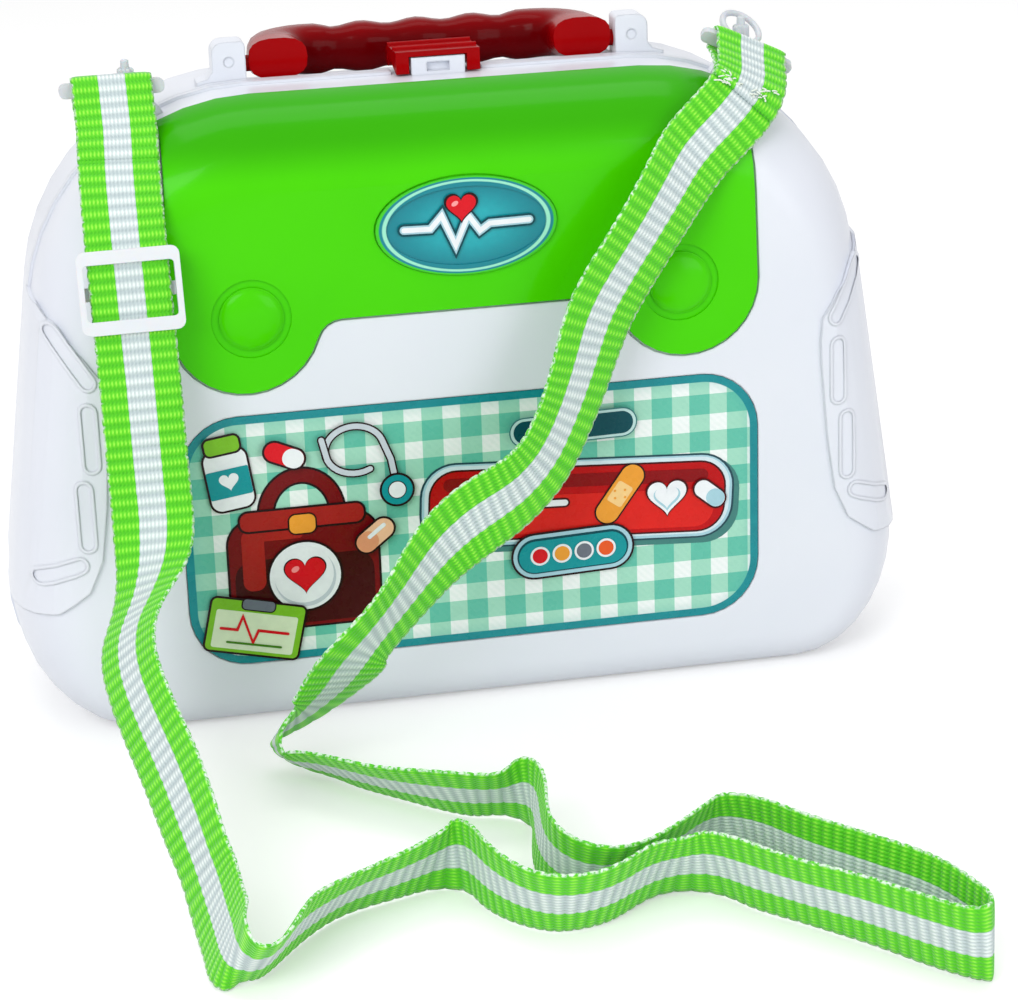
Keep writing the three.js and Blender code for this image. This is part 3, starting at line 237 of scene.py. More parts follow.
# Strap: rows of centre and width direction, from the left clip to the right one
WEB_WIDTH, WEB_THICK, RIB_PITCH, THREADS = 24.0, 1.5, 3.5, 21
STRAP = [
    (-100.00, -28.60, 187.29, 1.000, -0.003, -0.003),
    (-100.96, -39.76, 175.46, 0.996, -0.081, -0.030),
    (-101.21, -46.94, 164.00, 0.999, -0.037, 0.018),
    (-101.04, -54.66, 139.28, 0.999, -0.037, 0.018),
    (-100.87, -62.68, 113.62, 0.999, -0.037, 0.018),
    (-100.84, -66.93, 93.73, 0.999, -0.033, 0.009),
    (-100.89, -72.72, 79.38, 0.991, -0.128, 0.045),
    (-102.24, -79.21, 71.36, 0.849, -0.476, 0.229),
    (-106.06, -88.53, 65.15, 0.691, -0.562, 0.455),
    (-112.18, -102.79, 59.26, 0.664, -0.431, 0.611),
    (-113.05, -114.37, 53.37, 0.578, -0.427, 0.696),
    (-110.60, -125.71, 45.61, 0.532, -0.339, 0.776),
    (-105.70, -143.19, 34.32, 0.556, -0.350, 0.754),
    (-102.33, -159.88, 24.92, 0.536, -0.358, 0.764),
    (-100.04, -168.45, 17.39, 0.491, -0.487, 0.722),
    (-98.90, -176.62, 13.58, 0.502, -0.186, 0.845),
    (-98.12, -191.35, 11.45, 0.461, 0.018, 0.887),
    (-97.64, -208.98, 12.30, 0.317, 0.090, 0.944),
    (-97.35, -212.30, 12.85, 0.059, 0.130, 0.990),
    (-96.99, -213.47, 12.49, -0.018, -0.765, 0.644),
    (-96.27, -214.34, 11.06, -0.023, -0.808, 0.589),
    (-94.04, -215.14, 9.98, 0.097, -0.739, 0.666),
    (-90.79, -214.68, 9.71, 0.248, -0.688, 0.682),
    (-87.37, -211.48, 10.78, 0.360, -0.496, 0.790),
    (-82.70, -203.54, 11.52, 0.429, -0.191, 0.883),
    (-72.20, -190.64, 11.16, 0.375, -0.367, 0.851),
    (-61.24, -181.15, 10.75, 0.316, -0.487, 0.814),
    (-46.32, -175.06, 11.34, 0.140, -0.481, 0.865),
    (-35.53, -169.43, 11.96, 0.196, -0.332, 0.922),
    (-32.86, -168.32, 12.09, -0.089, -0.430, 0.899),
    (-31.28, -169.03, 12.36, -0.356, -0.070, 0.932),
    (-29.69, -172.04, 12.79, -0.141, -0.008, 0.990),
    (-26.46, -185.27, 12.84, -0.117, -0.056, 0.992),
    (-20.42, -197.16, 12.39, -0.211, -0.217, 0.953),
    (-13.33, -204.11, 11.84, -0.167, -0.395, 0.904),
    (-6.78, -205.26, 11.66, 0.022, -0.451, 0.892),
    (3.90, -202.99, 11.93, 0.149, -0.377, 0.914),
    (13.98, -195.28, 12.16, 0.253, -0.236, 0.938),
    (20.41, -191.21, 11.63, 0.169, -0.433, 0.885),
    (29.46, -190.09, 11.70, -0.066, -0.448, 0.891),
    (33.72, -191.61, 12.04, -0.307, -0.237, 0.922),
    (38.61, -198.74, 12.53, -0.226, -0.119, 0.967),
    (49.35, -211.87, 12.39, -0.232, -0.193, 0.953),
    (65.67, -230.00, 12.54, -0.197, -0.172, 0.965),
    (78.85, -246.76, 12.64, -0.175, -0.144, 0.974),
    (88.17, -256.16, 12.54, -0.140, -0.197, 0.970),
    (90.58, -257.39, 12.61, -0.121, -0.193, 0.974),
    (91.77, -257.04, 12.78, -0.020, -0.153, 0.988),
    (92.06, -255.39, 12.92, -0.012, -0.042, 0.999),
    (90.09, -245.52, 12.95, 0.012, 0.004, 1.000),
    (84.18, -228.55, 12.92, 0.057, 0.033, 0.998),
    (72.61, -212.56, 12.93, 0.052, 0.038, 0.998),
    (59.67, -194.83, 12.94, -0.042, -0.023, 0.999),
    (49.52, -177.62, 12.72, -0.172, -0.066, 0.983),
    (43.73, -171.04, 12.13, -0.281, -0.237, 0.930),
    (40.18, -169.88, 11.80, -0.026, -0.450, 0.892),
    (35.79, -171.51, 11.82, 0.253, -0.341, 0.905),
    (28.54, -178.26, 11.78, 0.243, -0.356, 0.902),
    (16.06, -185.60, 11.16, 0.200, -0.487, 0.850),
    (3.96, -189.75, 11.30, 0.089, -0.509, 0.856),
    (-0.97, -188.64, 11.86, -0.100, -0.424, 0.900),
    (-4.94, -184.35, 12.62, -0.144, -0.171, 0.975),
    (-7.38, -175.72, 12.95, 0.017, 0.000, 1.000),
    (-6.45, -160.40, 12.80, 0.164, -0.029, 0.986),
    (-4.07, -143.28, 12.93, 0.045, 0.003, 0.999),
    (-4.73, -136.69, 12.74, -0.171, 0.098, 0.980),
    (-5.62, -134.94, 11.96, -0.561, -0.032, 0.827),
    (-7.72, -134.09, 11.39, -0.218, -0.494, 0.841),
    (-17.08, -132.81, 10.87, -0.151, -0.545, 0.824),
    (-26.11, -128.07, 10.70, -0.380, -0.432, 0.818),
    (-42.58, -114.07, 9.71, -0.475, -0.491, 0.731),
    (-57.47, -98.66, 9.29, -0.553, -0.460, 0.694),
    (-63.24, -92.02, 8.48, -0.638, -0.490, 0.594),
    (-66.06, -90.42, 8.07, -0.193, -0.818, 0.542),
    (-69.57, -89.70, 9.62, 0.095, -0.923, 0.374),
    (-72.27, -88.79, 12.78, -0.020, -0.952, 0.306),
    (-72.37, -87.75, 15.46, -0.109, -0.880, 0.462),
    (-70.69, -86.52, 17.26, 0.107, -0.764, 0.637),
    (-65.56, -84.24, 18.19, 0.151, -0.722, 0.675),
    (-61.01, -82.76, 20.30, -0.290, -0.760, 0.581),
    (-57.73, -83.22, 23.18, -0.693, -0.643, 0.325),
    (-53.06, -88.08, 29.57, -0.885, -0.427, 0.188),
    (-47.86, -95.93, 40.40, -0.918, -0.305, 0.253),
    (-45.75, -97.45, 43.68, -0.641, -0.587, 0.494),
    (-42.16, -96.21, 46.91, -0.352, -0.495, 0.794),
    (-29.92, -90.28, 57.76, -0.444, -0.469, 0.763),
    (-17.59, -84.06, 68.91, -0.524, -0.211, 0.825),
    (-6.93, -79.22, 74.73, -0.332, 0.024, 0.943),
    (7.98, -73.14, 80.71, -0.395, -0.205, 0.895),
    (16.38, -69.46, 87.29, -0.628, -0.357, 0.692),
    (24.05, -65.30, 98.98, -0.737, -0.429, 0.523),
    (29.78, -63.11, 112.03, -0.855, -0.412, 0.314),
    (36.60, -60.48, 129.43, -0.846, -0.289, 0.447),
    (45.05, -58.80, 142.03, -0.723, -0.273, 0.635),
    (53.59, -57.75, 154.21, -0.761, -0.274, 0.588),
    (61.94, -53.49, 164.83, -0.704, -0.155, 0.693),
    (68.72, -47.15, 171.70, -0.673, 0.057, 0.737),
    (78.81, -42.58, 179.26, -0.617, 0.125, 0.777),
    (88.60, -36.50, 186.68, -0.748, 0.182, 0.638),
    (91.55, -30.84, 190.05, -0.901, 0.023, 0.433),
]


def distances(points):
    """How far along a line of points each one lies."""
    return np.r_[0, np.cumsum(np.linalg.norm(np.diff(points[:, :3], axis=0), axis=1))]


def smooth_line(rows, step):
    """Points of a smooth curve through rows, at even steps, with the blended rest of each row."""
    rows = np.array(rows, float)
    gap = np.linalg.norm(np.diff(rows[:, :3], axis=0), axis=1)[:, None]
    slope = np.diff(rows, axis=0) / gap
    inner = (slope[:-1] * gap[1:] + slope[1:] * gap[:-1]) / (gap[1:] + gap[:-1])
    ways = np.vstack([slope[:1], inner, slope[-1:]])
    dense = []
    # Each gap is cut into 8 pieces or more, two a millimetre
    for k in range(len(rows) - 1):
        a, b, h = rows[k], rows[k + 1], gap[k]
        for t in np.arange(0, 1, 1 / max(8, round(float(h[0]) * 2))):
            dense.append(a * (1 + 2 * t) * (1 - t) ** 2 + ways[k] * h * t * (1 - t) ** 2
                         + b * t * t * (3 - 2 * t) + ways[k + 1] * h * t * t * (t - 1))
    dense.append(rows[-1])
    dense = np.array(dense)
    along = distances(dense)
    at = np.linspace(0, along[-1], int(round(along[-1] / step)) + 1)
    return np.stack([np.interp(at, along, dense[:, i]) for i in range(dense.shape[1])], 1)


def relaxed(line, step, spread):
    """The line with its sharp turns opened, as stiff webbing bends, and its ends kept."""
    edge = int(3 * spread / step)
    span = np.arange(-edge, edge + 1) * step
    weight = np.exp(-0.5 * (span / spread) ** 2)
    weight /= weight.sum()
    wide = np.vstack([2 * line[0] - line[edge:0:-1], line, 2 * line[-1] - line[-2:-edge - 2:-1]])
    return np.stack([np.convolve(wide[:, i], weight, "valid") for i in range(line.shape[1])], 1)


def new_mesh(name, verts, faces, looks, smooth=True):
    """An object of the scene from vertices in millimetres."""
    mesh = bpy.data.meshes.new(name)
    mesh.from_pydata([tuple(v) for v in np.array(verts, float) * MM], [], faces)
    mesh.update()
    for look in looks:
        mesh.materials.append(look.mat)
    if smooth:
        mesh.polygons.foreach_set("use_smooth", [True] * len(mesh.polygons))
    obj = bpy.data.objects.new(name, mesh)
    scene.collection.objects.link(obj)
    return obj


def tidy_normals(obj):
    """Turns all faces of a closed mesh outwards."""
    work = bmesh.new()
    work.from_mesh(obj.data)
    bmesh.ops.recalc_face_normals(work, faces=work.faces)
    work.to_mesh(obj.data)
    work.free()


# Section of the webbing: facets across, thickness between the ribs, and the thinner edge
COLUMNS, GROOVE, EDGE_LOSS, EDGE_POWER = 14, 0.56, 0.45, 12


def webbing(name, line, look, width=WEB_WIDTH, fray=0.35):
    """Woven ribbon along rows of centre and width direction, with ribs and closed ends."""
    centre, across = line[:, :3], line[:, 3:6] / np.linalg.norm(line[:, 3:6], axis=1)[:, None]
    along = distances(centre)
    tangent = np.gradient(centre, axis=0)
    tangent /= np.linalg.norm(tangent, axis=1)[:, None]
    normal = np.cross(across, tangent)
    normal /= np.linalg.norm(normal, axis=1)[:, None]
    phase = (along / RIB_PITCH) % 1
    rib = np.sqrt(np.clip(1 - (2 * phase - 1) ** 2, 0, 1))
    half = WEB_THICK / 2 * (GROOVE + (1 - GROOVE) * rib)
    reach = width / 2 - fray * (1 - rib)
    shares = np.linspace(-1, 1, COLUMNS + 1)
    ring = [(u, 1) for u in shares] + [(u, -1) for u in shares[::-1]]
    verts, weave = [], []
    for k in range(len(centre)):
        for u, side in ring:
            thin = 1 - EDGE_LOSS * abs(u) ** EDGE_POWER
            verts.append(centre[k] + across[k] * u * reach[k] + normal[k] * side * (half[k] * thin))
            weave.append((u, along[k], side))
    n = len(ring)
    faces = [tuple(range(n - 1, -1, -1))]
    for k in range(0, (len(centre) - 1) * n, n):
        faces += [(k + i, k + (i + 1) % n, k + n + (i + 1) % n, k + n + i) for i in range(n)]
    faces.append(tuple(range((len(centre) - 1) * n, len(centre) * n)))
    obj = new_mesh(name, verts, faces, [look])
    mark = obj.data.attributes.new("weave", "FLOAT_VECTOR", "POINT")
    mark.data.foreach_set("vector", np.array(weave, float).ravel())
    tidy_normals(obj)
    return obj


# Webbing: three bands, each of thick threads that show as beads on every rib, and a pale selvedge
# The beads carry painted shade between ribs and threads and painted highlights on their crowns, in
# deeper and lighter copies of each colour; the palest white is also the selvedge's own colour
GREEN, GREEN_LIT, GREEN_SHADED = linear(98, 218, 14), linear(170, 244, 76), linear(66, 186, 6)
PALE, PALE_HIGHLIGHT_AND_SELVEDGE, PALE_SHADED = linear(216, 228, 226), linear(246, 252, 250), linear(172, 188, 192)
BAND_EDGE, SELVEDGE, SLANT = (0.345, 0.33), (0.94, 1.0), 5.2
web = Look("webbing_weave", Roughness=0.62, Sheen_Weight=0.25, Sheen_Roughness=0.45,
           Specular_IOR_Level=0.35)
u, s, _ = web.xyz("weave")
weft = u * (math.pi * THREADS)
thread = (weft.cosine() * 0.5 + 0.5).power(0.7)
ribs = (s * (2 * math.pi / RIB_PITCH)).cosine() * -0.5 + 0.5
twist = (weft + s * SLANT).cosine() * 0.5 + 0.5
wear = web.noise(0.35, 5.0)
centre_band = (u.abs() + (wear - 0.5) * 0.03).smooth(*BAND_EDGE)
# Painted shade in the grooves between ribs and threads, mixed with random tone from wear
shade = (ribs * 0.62 + thread * 0.3 + wear * 0.25 - 0.1).unit()
# Painted highlight on the crowns of ribs and threads, streaked along the twist
glint = ((ribs * thread).power(2.5) * 0.75 + (twist - 0.5) * 0.12).unit()
green = web.mix(glint, web.mix(shade, GREEN_SHADED, GREEN), GREEN_LIT)
pale = web.mix(glint, web.mix(shade, PALE_SHADED, PALE), PALE_HIGHLIGHT_AND_SELVEDGE)
selvedge = (u.abs() + (wear - 0.5) * 0.1).smooth(*SELVEDGE)
selvedge = (selvedge * (web.noise(0.9, 3.0).smooth(0.4, 0.62) * 0.8)).unit()
web.colour(web.mix(selvedge, web.mix(centre_band, green, pale), PALE_HIGHLIGHT_AND_SELVEDGE))
web.bump(ribs * 0.35 + thread * 0.4 + twist * 0.15 + web.noise(1.6, 4.0) * 0.25, 0.45, 0.8)

# The strap's line is eased over BEND millimetres, and the ribbon has RIB_ROWS rows a rib
LINE_STEP, BEND, EASED_EVERY, RIB_ROWS, PATH_EVERY = 0.5, 4.6, 4, 8, 9
line = smooth_line(STRAP, LINE_STEP)
line = smooth_line(relaxed(line, LINE_STEP, BEND)[::EASED_EVERY], RIB_PITCH / RIB_ROWS)
strap = webbing("strap_webbing", line, web)
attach(strap, "case_front")
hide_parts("strap")


# Sewn loops round the clip bars. A tack is its middle across the webbing, number and half width
BAR_REACH, LOOP_RADIUS, LOOP_FROM, LOOP_TO, LOOP_STEPS = 10.6, 3.45, 205, -25, 18
OVERLAP = 9.0
CLIPS = {
    "left": dict(pin=(-95, -8, 198.4), roll=0, tilt=0, shift=-5, swing=-42, body="left_clip",
                 end_lift=0.35, tacks=()),
    "right": dict(pin=(95, -8, 201), roll=25, tilt=30, shift=1.5, swing=-96, body="right_clip",
                  end_lift=1.1, tacks=((-6.5, 16, 2.6), (4.5, 12, 3.6))),
}
# Rows of a loop along the strap: share of OVERLAP and lift in front, distance and lift behind
FRONT_ROWS, BACK_ROWS = ((0.6, 1.15), (0.25, 1.2)), ((0.3, -1.0), (2.4, -0.8))
LOOP_WIDTH, LOOP_FRAY = WEB_WIDTH - 0.2, 0.45
# Threads of a tack: thickness, height of their ends and middle, least and greatest length, slant,
# and how far from the strap's end and from the loop's they lie
THREAD_RADIUS, THREAD_LIFT, THREAD_TOP, THREAD_SPAN, THREAD_SLANT = 0.26, 2.05, 2.3, (0.8, 2.4), 1.4
TACK_FROM, TACK_CLEAR, THREAD_POINTS, SEED = 3.0, 1.6, 6, 7


def thread_tube(name, paths, radius, look, sides=6):
    """Closed tubes along several short paths, as one piece."""
    verts, faces = [], []
    for path in paths:
        path = np.array(path, float)
        start = len(verts)
        for point, way in zip(path, np.gradient(path, axis=0)):
            way = Vector(way).normalized()
            first = way.orthogonal().normalized()
            second = way.cross(first)
            for i in range(sides):
                a = 2 * math.pi * i / sides
                out = first * math.cos(a) + second * math.sin(a)
                verts.append(tuple(Vector(point) + out * radius))
        for k in range(len(path) - 1):
            for i in range(sides):
                a, b = start + k * sides + i, start + k * sides + (i + 1) % sides
                faces.append((a, b, b + sides, a + sides))
        faces.append(tuple(range(start + sides - 1, start - 1, -1)))
        faces.append(tuple(range(len(verts) - sides, len(verts))))
    obj = new_mesh(name, verts, faces, [look])
    tidy_normals(obj)
    return obj


def offset_row(stretch, along, lift, flip):
    """A row of the strap's own line, that far from its end and lifted off its face to the front."""
    k = int(np.searchsorted(distances(stretch), along)) + 1
    way = Vector(stretch[k + 1, :3] - stretch[k - 1, :3]).normalized()
    out = way.cross(Vector(stretch[k, 3:6])).normalized()
    out = out if out.y < 0 else -out
    return tuple(Vector(stretch[k, :3]) + out * lift) + tuple(Vector(stretch[k, 3:6]) * flip)


cotton = Look("stitch_thread", Roughness=0.7, Sheen_Weight=0.3)
cotton.colour(cotton.mix(cotton.noise(1.2, 4.0), linear(250, 252, 248), linear(196, 212, 190)))
cotton.bump(cotton.noise(3.0, 3.0), 0.15, 0.8)
rng = np.random.default_rng(SEED)
for side_name, clip in CLIPS.items():
    to_clip = (Matrix.Translation(clip["pin"]) @ Matrix.Rotation(math.radians(clip["roll"]), 4, "Y")
               @ Matrix.Rotation(math.radians(clip["tilt"]), 4, "X"))
    to_loop = (to_clip @ Matrix.Translation((clip["shift"], -BAR_REACH, 0))
               @ Matrix.Rotation(math.radians(clip["swing"]), 4, "X"))
    bar_way = to_loop.to_3x3() @ Vector((1, 0, 0))
    stretch = line if side_name == "left" else line[::-1]
    flip = 1 if Vector(stretch[0, 3:6]).dot(bar_way) > 0 else -1
    rows = [offset_row(stretch, OVERLAP, clip["end_lift"], flip)]
    rows += [offset_row(stretch, OVERLAP * share, lift, flip) for share, lift in FRONT_ROWS]
    for a in np.linspace(math.radians(LOOP_FROM), math.radians(LOOP_TO), LOOP_STEPS):
        turned = Vector((0, math.cos(a) * LOOP_RADIUS, math.sin(a) * LOOP_RADIUS))
        rows.append(tuple(to_loop @ turned) + tuple(bar_way))
    rows += [offset_row(stretch, along, lift, flip) for along, lift in BACK_ROWS]
    loop = webbing("webbing_loop_" + side_name, smooth_line(rows, RIB_PITCH / RIB_ROWS), web,
                   width=LOOP_WIDTH, fray=LOOP_FRAY)
    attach(loop, clip["body"])
    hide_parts("strap_loop_" + side_name)
    # Threads through the front layer, uneven as a quick machine tack leaves them
    paths = []
    for mid, count, reach in clip["tacks"]:
        for _ in range(count):
            share = rng.uniform(TACK_FROM, OVERLAP - TACK_CLEAR)
            x0 = mid + rng.uniform(-reach, reach)
            x1 = x0 + rng.uniform(*THREAD_SPAN) * rng.choice((-1, 1))
            slant = rng.uniform(-THREAD_SLANT, THREAD_SLANT)
            ends = [Vector(offset_row(stretch, at, THREAD_LIFT, flip)[:3]) + bar_way * x
                    for at, x in ((share, x0), (share + slant, x1))]
            low, top = (Vector(offset_row(stretch, share, lift, flip)[:3])
                        for lift in (THREAD_LIFT, THREAD_TOP))
            paths.append([tuple(ends[0].lerp(ends[1], t) + (top - low) * math.sin(math.pi * t))
                          for t in np.linspace(0, 1, THREAD_POINTS)])
    if not paths:
        continue
    stitches = thread_tube("stitches_" + side_name, paths, THREAD_RADIUS, cotton)
    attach(stitches, clip["body"])


# Plastics and metal of the CAD nodes
white = plastic("case_white", linear(223, 226, 234), linear(217, 221, 231), 0.32, 0.9, IOR=1.48,
                Specular_IOR_Level=0.35, Coat_Weight=0.1, Coat_Roughness=0.12)

# Painted light: the flap is darker where it rolls over the top, as a painted dark reflection, and
# the grip where it lies in its well, as painted shade
ROLL_REFLECTION_Z, GRIP_SHADE_Y, GRIP_SHADE_Z = (171, 184), (6, 22), (197, 206)
lime = plastic("flap_lime", linear(74, 208, 0), linear(68, 200, 0), 0.20, IOR=1.5,
               Specular_IOR_Level=0.07, Coat_Weight=0.07, Coat_Roughness=0.05)
# Painted dark reflection on the band where the flap rolls over the top
_, _, z = lime.xyz()
lime.colour(lime.mix(z.smooth(*ROLL_REFLECTION_Z) * 0.85, lime.painted(), linear(48, 158, 0)))
red = plastic("handle_red", linear(160, 0, 5), linear(146, 0, 4), 0.2, IOR=1.5,
              Specular_IOR_Level=0.03, Coat_Weight=0.05, Coat_Roughness=0.05)
# Painted shade on the grip, deepest low in its well and less towards its top
_, y, z = red.xyz()
shade = y.smooth(*GRIP_SHADE_Y) * (z.smooth(*GRIP_SHADE_Z) * -0.5 + 0.9)
red.colour(red.mix(shade, red.painted(), linear(88, 0, 4)))

clear = plastic("clip_plastic", linear(226, 230, 234), linear(206, 213, 220), 0.34, 0.3, IOR=1.46,
                Transmission_Weight=0.22, Subsurface_Weight=0.15, Subsurface_Scale=0.003)
milky = plastic("slider_plastic", linear(222, 225, 228), linear(212, 217, 222), 0.36, 0.3, IOR=1.46,
                Specular_IOR_Level=0.3, Subsurface_Weight=0.2, Subsurface_Scale=0.002)
steel = Look("pin_steel", Metallic=1.0)
steel.soften(0.15)
steel.colour(steel.mix(steel.noise(0.6, 4.0), linear(196, 198, 202), linear(150, 153, 158)))
steel.rough((steel.noise(2.0, 4.0, (1, 6, 1)) * 0.25 + 0.2).unit())
steel.bump(steel.noise(3.0, 3.0, (1, 8, 1)), 0.03, 0.4)

# Badge: an oval of its middle height and half sizes, with a pale line and a green rim
BADGE_Z, BADGE_A, BADGE_B = 155.0, 27.5, 15.1
badge_look = printed("badge_print", (0.4, 0.14, 0.16), (0.8, 4.0, 0.03), edge=0.3, IOR=1.5,
                     Specular_IOR_Level=0.25, Coat_Weight=0.14, Coat_Roughness=0.06)
x, _, z = badge_look.xyz()
ring = ((x / BADGE_A).power(2.0) + ((z - BADGE_Z) / BADGE_B).power(2.0)).power(0.5)
teal = badge_look.mix(ring.smooth(0.15, 0.9), linear(34, 176, 186), linear(4, 128, 142))
teal = badge_look.mix(badge_look.noise(0.5) * 0.3, teal, linear(0, 112, 128))
pale_line = ring.smooth(0.875, 0.89) * ring.smooth(0.935, 0.92)
teal = badge_look.mix(pale_line, teal, linear(150, 224, 196))
badge_look.colour(badge_look.mix(ring.smooth(0.955, 0.97), teal, linear(60, 196, 20)))

# Label: gingham checks from the left and from the top, and a teal border round the edge
CHECK, BAND, TEN_CHECKS, CHECK_LEFT, CHECK_TOP = 12.0, 5.5, 120.0, 81.3, 100.2
LABEL_HALF, LABEL_MID_Z, LABEL_HIGH, LABEL_CORNER = 90.0, 61.25, 39.95, 18.0
BORDER, FADE = (-2.55, -2.35), (-6.0, -2.0)
MINT, MINT_DEEP, CHALK = linear(158, 212, 190), linear(92, 184, 162), linear(236, 240, 240)
SATIN, SKIN = (0.3, 0.16, 0.2), (0.6, 5.0, 0.04)
label_look = printed("label_print", SATIN, SKIN, IOR=1.48, Specular_IOR_Level=0.25,
                     Coat_Weight=0.08, Coat_Roughness=0.12)
x, _, z = label_look.xyz()
upright = ((x + CHECK_LEFT + TEN_CHECKS) / CHECK).fract().over(BAND / CHECK)
level = ((z * -1.0 + CHECK_TOP + TEN_CHECKS) / CHECK).fract().over(BAND / CHECK)
grain = ((x + z) * 2.6).cosine() * 0.04 + label_look.noise(1.5, 5.0) * 0.12
cloth = label_look.mix(((upright + level) * 0.5).over(0.25), CHALK, MINT)
cloth = label_look.mix((upright * level).over(0.5), cloth, MINT_DEEP)
cloth = label_look.mix(grain.unit(), cloth, linear(120, 190, 170))
ex = (x.abs() - (LABEL_HALF - LABEL_CORNER)).most(0.0)
ez = ((z - LABEL_MID_Z).abs() - (LABEL_HIGH - LABEL_CORNER)).most(0.0)
rim = (ex * ex + ez * ez).power(0.5) - LABEL_CORNER
cloth = label_look.mix(rim.smooth(*FADE) * 0.25, cloth, linear(70, 165, 155))
border = label_look.mix(label_look.noise(0.2), linear(22, 142, 148), linear(10, 122, 132))
label_look.colour(label_look.mix(rim.smooth(*BORDER), cloth, border))

LOOK_NODES = (
    (white, ("front_shell", "rear_shell")),
    (lime, ("front_flap",)),
    (badge_look, ("flap_badge",)),
    (label_look, ("front_label",)),
    (red, ("latch", "handle")),
    (steel, ("latch_pin", "hinge_pin_left", "hinge_pin_right",
             "flap_screw_1", "flap_screw_2", "flap_screw_3", "flap_screw_4")),
    (clear, ("strap_pin_left", "strap_pin_right", "strap_clip_left", "strap_clip_right")),
    (milky, ("strap_slider",)),
)

# Corners of a CAD mesh closer than this are one, and edges over this many degrees stay sharp
JOIN_GAP, SHARP = 0.002, 32


def rounding_group(angle):
    """Joins the split corners of an imported mesh and shades it smooth but at sharp edges."""
    tree = bpy.data.node_groups.new("smooth_by_angle", "GeometryNodeTree")
    for in_out in ("INPUT", "OUTPUT"):
        tree.interface.new_socket("Geometry", in_out=in_out, socket_type="NodeSocketGeometry")
    nodes, links = tree.nodes, tree.links
    source, end = nodes.new("NodeGroupInput"), nodes.new("NodeGroupOutput")
    join = nodes.new("GeometryNodeMergeByDistance")
    join.inputs["Distance"].default_value = JOIN_GAP * MM
    faces, edges = (nodes.new("GeometryNodeSetShadeSmooth") for _ in range(2))
    faces.domain, edges.domain = "FACE", "EDGE"
    bend, flat = nodes.new("GeometryNodeInputMeshEdgeAngle"), nodes.new("FunctionNodeCompare")
    flat.operation, flat.data_type = "LESS_THAN", "FLOAT"
    flat.inputs["B"].default_value = angle
    links.new(source.outputs[0], join.inputs["Geometry"])
    links.new(join.outputs[0], faces.inputs["Geometry"])
    links.new(faces.outputs[0], edges.inputs["Geometry"])
    links.new(bend.outputs[0], flat.inputs["A"])
    links.new(flat.outputs[0], edges.inputs["Shade Smooth"])
    links.new(edges.outputs[0], end.inputs[0])
    return tree


smoothing = rounding_group(math.radians(SHARP))
for look, names in LOOK_NODES:
    for name in names:
        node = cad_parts[name]
        for slot in node.material_slots:
            slot.material = look.mat
        if not node.material_slots:
            node.data.materials.append(look.mat)
        node.modifiers.new("smooth", "NODES").node_group = smoothing


# Strap pins: a fluted shank with a peg on top. A level is its height, radius and flute depth
PIN_LEVELS = ((190.3, 2.3, 0.0), (190.6, 2.6, 0.0), (196.4, 2.6, 0.0), (196.6, 2.2, 0.45),
              (201.4, 2.2, 0.45), (202.0, 1.7, 0.35), (202.05, 1.35, 0.0), (204.2, 1.25, 0.0),
              (204.5, 0.9, 0.0))
FLUTES, FLUTE_EDGE, PIN_FACETS, PIN_X, PIN_Y = 5, 2.5, 60, 95.0, -8.0
for side_name, pin_x in (("left", -PIN_X), ("right", PIN_X)):
    verts, faces = [], []
    for pz, radius, deep in PIN_LEVELS:
        for i in range(PIN_FACETS):
            a = 2 * math.pi * i / PIN_FACETS
            r = radius + deep * math.tanh(FLUTE_EDGE * math.cos(FLUTES * a))
            verts.append((pin_x + r * math.cos(a), PIN_Y + r * math.sin(a), pz))
    for k in range(0, (len(PIN_LEVELS) - 1) * PIN_FACETS, PIN_FACETS):
        for i in range(PIN_FACETS):
            j = (i + 1) % PIN_FACETS
            faces.append((k + i, k + j, k + PIN_FACETS + j, k + PIN_FACETS + i))
    faces.append(tuple(range(PIN_FACETS - 1, -1, -1)))
    faces.append(tuple(range(len(verts) - PIN_FACETS, len(verts))))
    pin = new_mesh("fluted_pin_" + side_name, verts, faces, [clear])
    pin.modifiers.new("smooth", "NODES").node_group = smoothing
    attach(pin, "case_front")
    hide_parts("strap_pin_" + side_name)


# Printed artwork: flat plates of ink, one on the other
LAYER_STEP, INK_THICK = 0.05, 0.06


class Print:
    """Thin plates, each on the one before, joined into one piece with a colour for each."""

    def __init__(self, name, face_y):
        self.name, self.y = name, face_y
        self.verts, self.faces, self.inks, self.layer = [], [], [], 0

    def shape(self, outline, colour, layer=None):
        """A plate on the one before, or on the layer given."""
        layer = self.layer if layer is None else layer
        self.layer = layer + 1
        front, back = self.y - LAYER_STEP * layer - INK_THICK, self.y - LAYER_STEP * layer
        count, start = len(outline), len(self.verts)
        self.verts += [(px, depth, pz) for depth in (front, back) for px, pz in outline]
        self.faces.append(tuple(range(start, start + count)))
        self.faces.append(tuple(range(start + 2 * count - 1, start + count - 1, -1)))
        for i in range(start, start + count):
            j = start + (i - start + 1) % count
            self.faces.append((i, count + i, count + j, j))
        self.inks += [colour] * (count + 2)

    def inked(self, maker, colour, outline=0.7, line=None, **what):
        """A shape with a dark line round it."""
        self.shape(maker(grow=outline, **what), line or INK)
        self.shape(maker(grow=0, **what), colour)

    def finish(self, body):
        obj = new_mesh(self.name, self.verts, self.faces, [ink_look], smooth=False)
        mark = obj.data.attributes.new("ink", "FLOAT_COLOR", "FACE")
        mark.data.foreach_set("color", np.array(self.inks, float).ravel())
        tidy_normals(obj)
        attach(obj, body)


# Outlines as points of X and Z. Each can grow by the width of its dark line
CORNER_POINTS, DISC_POINTS, HEART_POINTS, CAP_POINTS = 9, 40, 56, 9
LEAST_CORNER, CORNER_CLEAR, MITRE = 0.05, 0.01, 0.45


def placed(points, at, angle):
    """Points turned by an angle in degrees and moved."""
    c, s = math.cos(math.radians(angle)), math.sin(math.radians(angle))
    return [(at[0] + px * c - pz * s, at[1] + px * s + pz * c) for px, pz in points]


